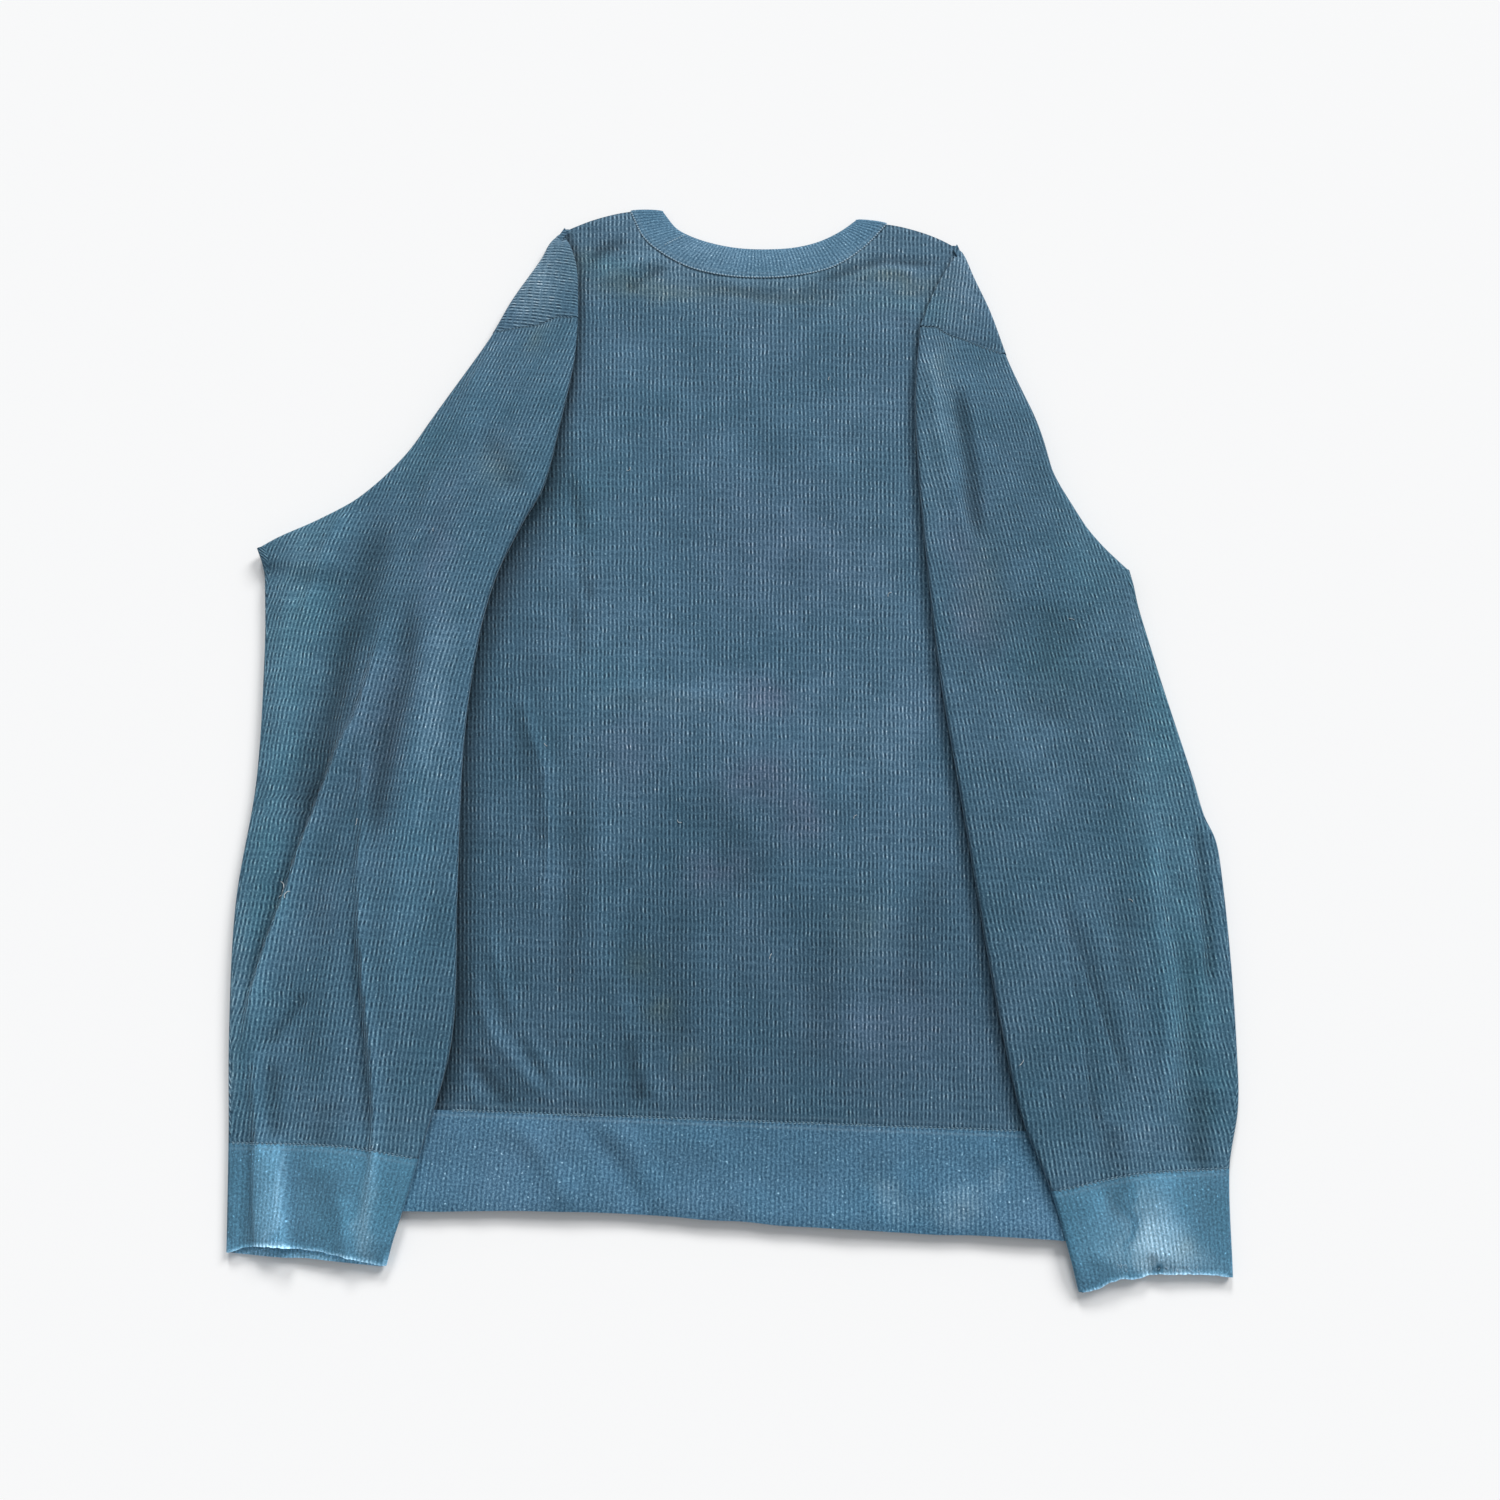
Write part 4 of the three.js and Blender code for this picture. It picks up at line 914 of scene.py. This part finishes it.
def neckband(material):
    """A rib band, closed all round, a little padded between seam and edge."""
    ws = np.linspace(0, 1, 13)
    dome = 1.25 * np.sin(np.pi * (0.12 + 0.88 * ws)) ** 0.6
    dome[0] = 0.5
    sections = []

    def section(p, q, top, bottom, dome_share):
        upper = mix(p[None, :], q[None, :], ws[:, None])
        over = np.concatenate([upper, (top + dome * dome_share)[:, None]], axis=1)
        edge_dir = (q - p) / np.linalg.norm(q - p)
        mid = (over[-1, 2] + bottom) / 2
        half = (over[-1, 2] - bottom) / 2
        rim = [np.append(q + edge_dir * half * 0.9 * math.sin(a), mid + half * math.cos(a))
               for a in np.linspace(0.2, 0.8, 4) * math.pi]
        under = np.concatenate([upper[::-1], np.full((len(ws), 1), bottom)], axis=1)
        return np.vstack([over, rim, under, over[:1]])

    def stations(neck, count, back):
        t = np.linspace(0, 1, count)
        if back:
            t = t[::-1]
        p, q = neck["seam"][0](t), neck["edge"][0](t)
        return [section(a, b, TURN if back else CLOTH, STEP if back else 0, 1 if back else 0.2)
                for a, b in zip(p, q)]

    def over_point(t, up):
        p, q = BACK_NECK["seam"][0](t)[0], BACK_NECK["edge"][0](t)[0]
        edge_dir = (q - p) / np.linalg.norm(q - p)
        away = np.array([-edge_dir[1], edge_dir[0]])
        away *= 1 if away[1] > 0 else -1
        rings = []
        for a in half_turn(8) * (1 if up else -1):
            flat = section(p, q, TURN, STEP, (1 + math.sin(a)) / 2)
            radius = flat[:, 2] - TURN / 2
            shift = radius * math.cos(a)
            rings.append(np.stack([flat[:, 0] + away[0] * shift, flat[:, 1] + away[1] * shift,
                                   TURN / 2 + radius * math.sin(a)], axis=1))
        return rings

    sections += stations(BACK_NECK, 100, True)
    sections += over_point(0.0, False)
    front = stations(FRONT_NECK, 90, False)
    # laid the other way up, the outer face of the front run is its lower one
    for ring in front:
        ring[:, 2] = CLOTH - ring[:, 2]
        ring[:, 2] = np.maximum(ring[:, 2], 0)
    sections += front
    sections += over_point(1.0, True)
    sections.append(sections[0])
    points = np.stack(sections)
    arc = np.concatenate([[0], np.cumsum(np.linalg.norm(
        np.diff(points[:, 6], axis=0), axis=-1))])
    along = np.concatenate([ws * NECK_DEEP, np.full(4, NECK_DEEP + 1.0),
                            NECK_DEEP + 2 + ws * NECK_DEEP, [0]])
    seam = np.concatenate([ws * NECK_DEEP, np.full(4, NECK_DEEP), (1 - ws) * NECK_DEEP, [0]])
    cloth = np.stack(np.broadcast_arrays(arc[:, None], along[None, :]), axis=-1)
    made = cloth_piece("neck", [Patch(points, cloth, seam[None, :])], material, wall=0)
    return made, points[:100, 0]


# ---- linking stitches, lint and loose threads ----

def surface_under(pieces):
    """A finder of the height of the topmost of these pieces at x, y."""
    points, faces = [], []
    for piece in pieces:
        start = len(points)
        points += [v.co.copy() for v in piece.data.vertices]
        faces += [[start + i for i in p.vertices] for p in piece.data.polygons]
    tree = BVHTree.FromPolygons(points, faces)

    def height(x, y):
        hit = tree.ray_cast(Vector((x * MM, y * MM, 0.1)), Vector((0, 0, -1)))
        return hit[0].z / MM if hit[0] else 0.0
    return height


def threads(name, runs, material, radii):
    """Round yarns along runs of points, all in one mesh."""
    mesh = bpy.data.meshes.new(name)
    b = bmesh.new()
    sides = 6
    for run, radius in zip(runs, radii):
        run = np.array(run, float)
        rings = []
        for i, p in enumerate(run):
            d = run[min(i + 1, len(run) - 1)] - run[max(i - 1, 0)]
            d = Vector(d).normalized()
            a = d.cross(Vector((0, 0, 1)))
            a = a.normalized() if a.length > 1e-3 else Vector((1, 0, 0))
            c = a.cross(d).normalized()
            thin = radius * (0.45 if i in (0, len(run) - 1) else 1)
            rings.append([b.verts.new(Vector(p * MM) + (a * math.cos(k * 2 * math.pi / sides)
                          + c * math.sin(k * 2 * math.pi / sides)) * thin * MM)
                          for k in range(sides)])
        for lower, upper in zip(rings[:-1], rings[1:]):
            for k in range(sides):
                b.faces.new((lower[k], lower[(k + 1) % sides], upper[(k + 1) % sides], upper[k]))
        b.faces.new(rings[0][::-1])
        b.faces.new(rings[-1])
    b.normal_update()
    b.to_mesh(mesh)
    b.free()
    piece = in_scene(name, mesh, material)
    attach(piece, "root")
    return piece


def linking(name, path, material, height, pitch=2.6, spread=0.85, thick=0.28,
            sunk=0.0):
    """A row of linking stitches over a seam: slanted legs, one each side of the join."""
    path = np.array(path, float)
    steps = np.linalg.norm(np.diff(path[:, :2], axis=0), axis=1)
    lengths = np.concatenate([[0], np.cumsum(steps)])
    at = np.arange(pitch / 2, lengths[-1], pitch)
    rng = np.random.RandomState(len(path) + int(lengths[-1]))
    runs = []
    for s in at:
        def spot(offset):
            return np.array([np.interp(s + offset, lengths, path[:, i]) for i in (0, 1)])
        d = spot(0.5) - spot(-0.5)
        d /= max(np.linalg.norm(d), 1e-6)
        n = np.array([-d[1], d[0]])
        for leg in (-1, 1):
            start = spot(-pitch * 0.42) + n * leg * spread * rng.uniform(0.85, 1.1)
            stop = spot(pitch * 0.30) + n * leg * 0.18
            mid = (start + stop) / 2
            base = max(height(*(spot(0) + n * k)) for k in (-0.7, 0, 0.7)) + sunk
            runs.append([(*start, base - 0.18), (*mid, base + 0.12), (*stop, base - 0.12)])
    return threads(name, runs, material, [thick] * len(runs))


def curl(x, y, heading, length, bend, height, lift=0.35, count=9):
    """Points of a loose fibre that lies on the cloth."""
    points, angle = [], heading
    for i in range(count):
        points.append((x, y, height(x, y) + lift * (1 + 0.6 * math.sin(i * 1.3 + heading))))
        angle += bend / count
        x += math.cos(angle) * length / count
        y += math.sin(angle) * length / count
    return points


# ---- materials ----

def put(tree, kind, sockets=(), **settings):
    """A node with its settings, and its sockets linked or filled in."""
    node = tree.nodes.new(kind)
    for key, value in settings.items():
        setattr(node, key, value)
    for key, value in dict(sockets).items():
        if isinstance(value, bpy.types.NodeSocket):
            tree.links.new(value, node.inputs[key])
        else:
            node.inputs[key].default_value = value
    return node


def maths(operation):
    """A function that works this out in a shader tree."""
    def work_out(tree, *values, clamp=False):
        node = put(tree, "ShaderNodeMath", dict(enumerate(values)), operation=operation)
        node.use_clamp = clamp
        return node.outputs[0]
    return work_out


plus, minus, times, over, times_plus, power, least, greatest, floor, cosine, sine, absolute = map(
    maths, ("ADD", "SUBTRACT", "MULTIPLY", "DIVIDE", "MULTIPLY_ADD", "POWER", "MINIMUM", "MAXIMUM",
            "FLOOR", "COSINE", "SINE", "ABSOLUTE"))


def noise(tree, where, scale, detail=2.0, roughness=0.5):
    """Cloudy noise around 0.5."""
    return put(tree, "ShaderNodeTexNoise", {"Vector": where, "Scale": scale, "Detail": detail,
                                            "Roughness": roughness}).outputs[0]


def carried(tree, value, low, high, to_low=0.0, to_high=1.0):
    """A value from low to high carried over to the range to_low to to_high, and held there."""
    return put(tree, "ShaderNodeMapRange", {0: value, 1: low, 2: high, 3: to_low,
                                            4: to_high}).outputs[0]


def chance(tree, column, row=None):
    """A random number for each column, or for each place in it."""
    if row is None:
        return put(tree, "ShaderNodeTexWhiteNoise", {"W": column},
                   noise_dimensions="1D").outputs["Value"]
    cell = put(tree, "ShaderNodeCombineXYZ", {0: column, 1: row}).outputs[0]
    return put(tree, "ShaderNodeTexWhiteNoise", {"Vector": cell},
               noise_dimensions="2D").outputs["Value"]


def blend_colour(tree, share, a, b, way="MIX"):
    node = put(tree, "ShaderNodeMix", {0: share, 6: a, 7: b}, data_type="RGBA", blend_type=way)
    return node.outputs[2]


def linear(red, green, blue):
    """A colour from its screen values."""
    return tuple(((c / 255 + 0.055) / 1.055) ** 2.4 for c in (red, green, blue)) + (1.0,)


def group(name, inputs, outputs):
    """A shader node group with named sockets; returns it and its two ends."""
    tree = bpy.data.node_groups.new(name, "ShaderNodeTree")
    for label, kind, default in inputs:
        socket = tree.interface.new_socket(label, in_out="INPUT", socket_type=kind)
        if default is not None:
            socket.default_value = default
    for label, kind in outputs:
        tree.interface.new_socket(label, in_out="OUTPUT", socket_type=kind)
    return tree, tree.nodes.new("NodeGroupInput").outputs, tree.nodes.new("NodeGroupOutput").inputs


FLOAT, VECTOR, COLOUR = "NodeSocketFloat", "NodeSocketVector", "NodeSocketColor"


def waffle_knit():
    """Tucked stitches: columns of pale and dark dashes, broken up into short courses."""
    tree, given, result = group(
        "waffle knit", [("Cloth", VECTOR, None), ("Wale", FLOAT, 0.0025),
                        ("Course", FLOAT, 0.006), ("Unevenness", FLOAT, 0.5)],
        [("Height", FLOAT), ("Shade", FLOAT)])
    parts = put(tree, "ShaderNodeSeparateXYZ", {0: given["Cloth"]}).outputs
    drift = times(tree, minus(tree, noise(tree, given["Cloth"], 90.0), 0.5), 0.7)
    u = plus(tree, over(tree, parts[0], given["Wale"]), drift)
    column = floor(tree, u)
    # the courses of one column don't quite meet those of the next
    v = plus(tree, over(tree, parts[1], given["Course"]), times(tree, chance(tree, column), 0.22))
    v = plus(tree, v, times(tree, drift, 0.5))
    wave = cosine(tree, times(tree, u, 2 * math.pi))
    wave = power(tree, times_plus(tree, wave, 0.5, 0.5), 1.2)
    wave = times_plus(tree, wave, 2.0, -0.9)
    fade = power(tree, absolute(tree, sine(tree, times(tree, v, math.pi))), 0.5)
    # stitches differ one by one, and in short runs along a column
    run = put(tree, "ShaderNodeCombineXYZ", {0: times(tree, column, 7.3),
                                             1: times(tree, v, 1.7)}).outputs[0]
    patchy = carried(tree, noise(tree, run, 1.0), 0.3, 0.7)
    one = minus(tree, chance(tree, column, floor(tree, v)), 0.5)
    strength = plus(tree, 0.85, times(tree, one, given["Unevenness"]))
    strength = times(tree, strength, times_plus(tree, patchy, 1.0, 0.4))
    dash = times(tree, times(tree, wave, fade), strength)
    # in places the courses show as faint bars across
    places = carried(tree, noise(tree, given["Cloth"], 60.0), 0.35, 0.65, 0.0, 0.09)
    bars = times(tree, cosine(tree, times(tree, v, 2 * math.pi)), places)
    shade = plus(tree, times_plus(tree, dash, 0.5, 0.5), bars)
    tree.links.new(shade, result["Shade"])
    tree.links.new(shade, result["Height"])
    return tree


def close_rib():
    """Fine upright ribs of the neckband, hem and cuffs."""
    tree, given, result = group(
        "close rib", [("Cloth", VECTOR, None), ("Rib", FLOAT, 0.0032), ("Course", FLOAT, 0.0042),
                      ("Unevenness", FLOAT, 0.5)], [("Height", FLOAT), ("Shade", FLOAT)])
    drift = minus(tree, noise(tree, given["Cloth"], 120.0), 0.5)
    parts = put(tree, "ShaderNodeSeparateXYZ", {0: given["Cloth"]}).outputs
    u = plus(tree, over(tree, parts[0], given["Rib"]), times(tree, drift, 0.5))
    v = plus(tree, over(tree, parts[1], given["Course"]), drift)
    column = floor(tree, u)
    v = plus(tree, v, chance(tree, column))
    wave = cosine(tree, times(tree, u, 2 * math.pi))
    bars = sine(tree, times(tree, v, 2 * math.pi))
    one = chance(tree, column, floor(tree, v))
    dash = times(tree, times_plus(tree, bars, 0.28, 0.72), wave)
    dash = times(tree, dash, times_plus(tree, one, given["Unevenness"], 0.6))
    shade = times_plus(tree, dash, 0.42, 0.5)
    tree.links.new(shade, result["Shade"])
    tree.links.new(shade, result["Height"])
    return tree


def nap():
    """Short fuzz of worn wool, and the yarn's mixed fibres."""
    tree, given, result = group("wool nap", [("Cloth", VECTOR, None)],
                                [("Height", FLOAT), ("Fibre", FLOAT)])
    where = given["Cloth"]
    fine = noise(tree, where, 720.0, roughness=0.7)
    pills = carried(tree, noise(tree, where, 420.0), 0.56, 0.75)
    flecks = carried(tree, noise(tree, where, 560.0, detail=1.0), 0.66, 0.76)
    tree.links.new(times_plus(tree, pills, 0.5, fine), result["Height"])
    tree.links.new(times_plus(tree, flecks, 0.35, fine), result["Fibre"])
    return tree


def washed_dye():
    """Dye that has gone pale, dull or teal in places, with olive and violet stains, and with
    painted light and painted shade from the fade and crest marks.
    """
    tree, given, result = group(
        "washed dye",
        [("Dye", COLOUR, None), ("Cloth", VECTOR, None), ("Fade_and_painted_light", FLOAT, 0.0),
         ("Olive", FLOAT, 0.0), ("Violet", FLOAT, 0.0), ("Teal", FLOAT, 0.0),
         ("Crest", FLOAT, 0.0), ("Shade", FLOAT, 0.5), ("Contrast", FLOAT, 0.5),
         ("Fibre", FLOAT, 0.5), ("Fleck", FLOAT, 1.0), ("Greying", FLOAT, 1.0)],
        [("Color", COLOUR)])
    broad = noise(tree, given["Cloth"], 11.0, 4.0, 0.62)
    blotch = noise(tree, given["Cloth"], 46.0, 4.0, 0.65)
    ragged = times_plus(tree, blotch, 1.6, 0.2)
    colour = given["Dye"]
    for mask, stain, most in (("Teal", (70, 124, 142), 0.55), ("Violet", (94, 96, 122), 0.6),
                              ("Olive", (84, 104, 100), 0.62)):
        share = times(tree, times(tree, given[mask], ragged), most, clamp=True)
        colour = blend_colour(tree, share, colour, linear(*stain))
    dull = carried(tree, broad, 0.35, 0.68, 0.0, 0.30)
    colour = blend_colour(tree, dull, colour, linear(84, 104, 126))
    # crest values above 1 are the worn cuff rims and the painted light in the left cuff's mouth;
    # both are blended pale
    rubbed_and_painted_light = times(tree, greatest(tree, minus(tree, given["Crest"], 1.0), 0.0), 0.25)
    pale = times(tree, plus(tree, rubbed_and_painted_light, greatest(tree, given["Fade_and_painted_light"], 0.0)),
                 times(tree, ragged, plus(tree, given["Shade"], 0.35)), clamp=True)
    colour = blend_colour(tree, pale, colour, linear(170, 203, 222))
    # two powers of e: one for the stitches and fibres, one for the crest and the wash; the crest
    # holds the painted light and shade of folds and cuff mouths, the painted shadow beside the
    # sleeves, and the worn rims
    stitches = times(tree, minus(tree, given["Shade"], 0.5), given["Contrast"])
    stitches = times_plus(tree, minus(tree, given["Fibre"], 0.5), given["Fleck"], stitches)
    level = times(tree, least(tree, given["Fade_and_painted_light"], 0.0), 1.1)
    for amount, part, middle in ((0.42, given["Crest"], 0.0), (0.55, broad, 0.5),
                                 (0.45, blotch, 0.5)):
        level = times_plus(tree, minus(tree, part, middle), amount, level)
    # grey wool shows in the pale stitches, so red moves more there than blue
    tint = {}
    for channel, more in enumerate((0.24, -0.03, -0.18)):
        greyed = times_plus(tree, given["Greying"], more, 1.0)
        tint[channel] = power(tree, math.e, times_plus(tree, stitches, greyed, level))
    tint = put(tree, "ShaderNodeCombineColor", tint).outputs[0]
    tree.links.new(blend_colour(tree, 1.0, colour, tint, "MULTIPLY"), result["Color"])
    return tree


def seam_line():
    """The join between two pieces: a groove with painted shade in it, and a pale ridge beside it.
    """
    tree, given, result = group(
        "seam line", [("Distance", FLOAT, 1.0)], [("Dark", FLOAT), ("Pale", FLOAT)])
    groove, ridge, ridge_wide = 0.0020, 0.0030, 0.0012
    off = absolute(tree, minus(tree, given["Distance"], ridge))
    for share, end in ((over(tree, given["Distance"], groove), "Dark"),
                       (over(tree, off, ridge_wide), "Pale")):
        tree.links.new(minus(tree, 1.0, share, clamp=True), result[end])
    return tree


WAFFLE, RIB, NAP, DYE, SEAM_LINE = waffle_knit(), close_rib(), nap(), washed_dye(), seam_line()


def new_material(name):
    """A material with an empty node tree."""
    material = bpy.data.materials.new(name)
    material.use_nodes = True
    material.node_tree.nodes.clear()
    return material, material.node_tree


def knitted(name, dye, stitch, contrast, sizes, seam_painted_shade=0.16, seam_pale=0.16, relief_mm=0.34,
            fleck=1.0, greying=1.0):
    """Cloth of one knit: stitch is the group it takes its stitches from."""
    material, tree = new_material(name)
    cloth = put(tree, "ShaderNodeUVMap", uv_map="cloth").outputs[0]
    far = put(tree, "ShaderNodeSeparateXYZ",
              {0: put(tree, "ShaderNodeUVMap", uv_map="seam").outputs[0]}).outputs[0]
    knit = put(tree, "ShaderNodeGroup", node_tree=stitch)
    fuzz = put(tree, "ShaderNodeGroup", node_tree=NAP)
    seam = put(tree, "ShaderNodeGroup", node_tree=SEAM_LINE)
    dyed = put(tree, "ShaderNodeGroup", node_tree=DYE)
    for key, value in sizes.items():
        knit.inputs[key].default_value = value
    for key, value in (("Dye", linear(*dye)), ("Contrast", contrast), ("Fleck", fleck),
                       ("Greying", greying)):
        dyed.inputs[key].default_value = value
    for node in (knit, fuzz, dyed):
        tree.links.new(cloth, node.inputs["Cloth"])
    tree.links.new(far, seam.inputs["Distance"])
    tree.links.new(knit.outputs["Shade"], dyed.inputs["Shade"])
    tree.links.new(fuzz.outputs["Fibre"], dyed.inputs["Fibre"])
    for label in ("fade_and_painted_light", "olive", "violet", "teal", "crest"):
        held = put(tree, "ShaderNodeAttribute", attribute_name=label)
        tree.links.new(held.outputs["Fac"], dyed.inputs[label.capitalize()])
    # painted shade along each seam's groove, strongest on the sleeves, then the pale ridge beside
    # it
    colour = blend_colour(tree, times(tree, seam.outputs["Dark"], seam_painted_shade),
                          dyed.outputs[0], linear(30, 48, 62))
    colour = blend_colour(tree, times(tree, seam.outputs["Pale"], seam_pale),
                          colour, linear(150, 180, 200))
    height = times_plus(tree, fuzz.outputs["Height"], 0.35, knit.outputs["Height"])
    height = minus(tree, height, times(tree, seam.outputs["Dark"], 0.2))
    bump = put(tree, "ShaderNodeBump", {"Height": height, "Strength": 0.8,
                                        "Distance": relief_mm * MM})
    rough = carried(tree, fuzz.outputs["Fibre"], 0.0, 1.0, 0.84, 0.98)
    shader = put(tree, "ShaderNodeBsdfPrincipled", {
        "Base Color": colour, "Roughness": rough, "Normal": bump.outputs[0],
        "Specular IOR Level": 0.18, "Sheen Weight": 0.12, "Sheen Roughness": 0.45})
    put(tree, "ShaderNodeOutputMaterial", {"Surface": shader.outputs[0]})
    return material


def yarn(name, colour, fleck):
    """Loose or linking yarn, twisted, with paler flecks."""
    material, tree = new_material(name)
    twist = noise(tree, put(tree, "ShaderNodeTexCoord").outputs["Object"], 900.0)
    mixed = blend_colour(tree, carried(tree, twist, 0.35, 0.7), linear(*colour), linear(*fleck))
    bump = put(tree, "ShaderNodeBump", {"Height": twist, "Strength": 0.6, "Distance": 0.0002})
    shader = put(tree, "ShaderNodeBsdfPrincipled", {
        "Base Color": mixed, "Roughness": carried(tree, twist, 0.0, 1.0, 0.8, 0.96),
        "Normal": bump.outputs[0], "Specular IOR Level": 0.2, "Sheen Weight": 0.15})
    put(tree, "ShaderNodeOutputMaterial", {"Surface": shader.outputs[0]})
    return material


# ---- the garment put together ----

WAFFLE_SIZES = {"Wale": 0.00265, "Course": 0.0056, "Unevenness": 0.8}
body_knit = knitted("washed blue waffle knit", (63, 98, 120), WAFFLE, 1.9, WAFFLE_SIZES,
                    seam_pale=0.06, fleck=2.0)
sleeve_knit = knitted("washed blue sleeve knit", (64, 101, 123), WAFFLE, 1.75, WAFFLE_SIZES,
                      seam_painted_shade=0.34, seam_pale=0.0, fleck=2.2)
band_rib = knitted("faded blue band rib", (74, 117, 145), RIB, 0.75,
                   {"Rib": 0.0027, "Course": 0.0036, "Unevenness": 1.0}, seam_painted_shade=0.08,
                   relief_mm=0.26, fleck=3.0)
cuff_rib = knitted("faded blue cuff rib", (78, 127, 154), RIB, 0.36,
                   {"Rib": 0.0029, "Course": 0.0036, "Unevenness": 1.0}, seam_painted_shade=0.0,
                   seam_pale=0.1, relief_mm=0.2, fleck=2.2, greying=0.2)
link_yarn = yarn("linking yarn", (92, 128, 150), (140, 170, 188))
neck_yarn = yarn("neck linking yarn", (142, 174, 194), (186, 210, 224))
pale_yarn = yarn("undyed loose yarn", (178, 190, 196), (214, 220, 222))

back = back_panel(body_knit)
front = front_panel(body_knit)
neck, neck_seam = neckband(band_rib)
hem, hem_seam = hem_band(band_rib)
sleeve_left, arm_left = sleeve("sleeve_left", LEFT, LEFT_SLEEVE_FOLDS, sleeve_knit)
sleeve_right, arm_right = sleeve("sleeve_right", RIGHT, RIGHT_SLEEVE_FOLDS, sleeve_knit)
cuff_left, wrist_left = cuff("cuff_left", LEFT, LEFT_SLEEVE_FOLDS, cuff_rib)
cuff_right, wrist_right = cuff("cuff_right", RIGHT, RIGHT_SLEEVE_FOLDS, cuff_rib)

PIECES = [
    (back, "back_panel", "body_knit"), (front, "front_panel", "body_knit"),
    (neck, "neckband", "rib_knit"), (hem, "hem_band", "rib_knit"),
    (sleeve_left, "left_sleeve", "sleeve_knit"), (sleeve_right, "right_sleeve", "sleeve_knit"),
    (cuff_left, "left_cuff", "cuff_knit"), (cuff_right, "right_cuff", "cuff_knit"),
]
for piece, node, slot in PIECES:
    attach(piece, "root")
    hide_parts(node)

height = surface_under([p for p, _, _ in PIECES])
band_join = [(-56.5, 342.2), (-42.0, 352.4)]
links = {
    "neck_join": linking("neck_join_linking", band_join, neck_yarn, height,
                         pitch=2.0, spread=0.3, thick=0.3, sunk=0.05),
    "neck": linking("neck_linking", neck_seam, neck_yarn, height, pitch=2.2,
                    spread=0.3, thick=0.42, sunk=0.15),
    "left": linking("left_armhole_linking", arm_left, link_yarn, height),
    "right": linking("right_armhole_linking", arm_right, link_yarn, height),
    "hem": linking("hem_linking",
                   [p for p in hem_seam[::-1] if -148 < p[0] < 190], link_yarn,
                   height, spread=0.7),
    "cuff_left": linking("left_cuff_linking", wrist_left, link_yarn, height,
                         spread=0.7),
    "cuff_right": linking("right_cuff_linking", wrist_right, link_yarn, height,
                          spread=0.7),
}

rng = np.random.RandomState(17)
lint_places = [(90, -102), (189, -253), (-20, -108), (112, 55), (-70, 150), (40, -190),
               (-110, -60), (70, 230), (-200, 90), (232, 40), (-225, -120), (260, -150)]
threads("lint", [curl(x, y, rng.uniform(0, 6.28), rng.uniform(2.5, 6), rng.uniform(-3, 3), height)
                 for x, y in lint_places],
        pale_yarn, [0.16] * len(lint_places))
loose = threads("loose_thread", [curl(-269, -166, 0.5, 13, 2.2, height, 0.5, 16),
                                 curl(-262, -168, 2.4, 7, -2.6, height, 0.5, 12)],
                pale_yarn, [0.26, 0.22])
fray = threads("cuff_fray",
               [curl(x, y, rng.uniform(3.8, 5.6), rng.uniform(1.5, 3.4), rng.uniform(-1.6, 1.6),
                     height, 0.3, 7)
                for x, y in zip(rng.uniform(240, 290, 26), rng.uniform(-363, -360, 26))],
               neck_yarn, [0.10] * 26)

# ---- floor, light and camera ----

floor_mesh = bpy.data.meshes.new("floor")
FLOOR_HALF, FLOOR_DROP = 40, 0.0002     # metres; the drop keeps it clear of the cloth
floor_mesh.from_pydata([(x * FLOOR_HALF, y * FLOOR_HALF, -FLOOR_DROP)
                        for x, y in ((-1, -1), (1, -1), (1, 1), (-1, 1))], [], [(0, 1, 2, 3)])
floor = bpy.data.objects.new("floor", floor_mesh)
bpy.context.scene.collection.objects.link(floor)
paper = bpy.data.materials.new("pale paper")
paper.use_nodes = True
shader = paper.node_tree.nodes["Principled BSDF"]
shader.inputs["Roughness"].default_value = 0.95
shader.inputs["Specular IOR Level"].default_value = 0.1
paper_grain = put(paper.node_tree, "ShaderNodeTexNoise", {"Scale": 6.0, "Detail": 3.0})
paper.node_tree.links.new(
    blend_colour(paper.node_tree, paper_grain.outputs[0], (0.955, 0.952, 0.95, 1),
                 (0.965, 0.962, 0.96, 1)), shader.inputs["Base Color"])
floor_mesh.materials.append(paper)

world = bpy.data.worlds.new("soft room")
bpy.context.scene.world = world
world.use_nodes = True
room = world.node_tree
background = room.nodes["Background"]
background.inputs[0].default_value = (0.96, 0.98, 1.0, 1)
seen = put(room, "ShaderNodeLightPath").outputs["Is Camera Ray"]
room.links.new(times_plus(room, seen, 0.54, 0.393), background.inputs[1])


def soft_light(name, direction, strength, spread, colour=(1, 1, 1)):
    """Even light from far away, softened by its spread in degrees."""
    lamp = bpy.data.lights.new(name, "SUN")
    lamp.energy, lamp.angle, lamp.color = strength, math.radians(spread), colour
    holder = bpy.data.objects.new(name, lamp)
    holder.rotation_euler = (-Vector(direction)).to_track_quat("-Z", "Y").to_euler()
    bpy.context.scene.collection.objects.link(holder)


soft_light("window", (0.62, 0.72, 0.68), 1.95, 26)
soft_light("overhead", (-0.1, 0.95, 0.58), 1.45, 16)

lens = bpy.data.cameras.new("camera")
lens.lens = 30.5
lens.sensor_width = 36
lens.clip_start = 0.01
camera = bpy.data.objects.new("camera", lens)
eye, target = Vector((31.4, -326.2, 787.6)) * MM, Vector((MIDDLE_X, MIDDLE_Y, 5)) * MM
away = (eye - target).normalized()
tilt = math.radians(2)
right = Vector((math.cos(tilt), math.sin(tilt), 0))
right = (right - away * right.dot(away)).normalized()
up = away.cross(right)
camera.matrix_world = Matrix((
    (right.x, up.x, away.x, eye.x), (right.y, up.y, away.y, eye.y),
    (right.z, up.z, away.z, eye.z), (0, 0, 0, 1)))
bpy.context.scene.collection.objects.link(camera)
bpy.context.scene.camera = camera
bpy.context.scene.view_settings.view_transform = "Standard"
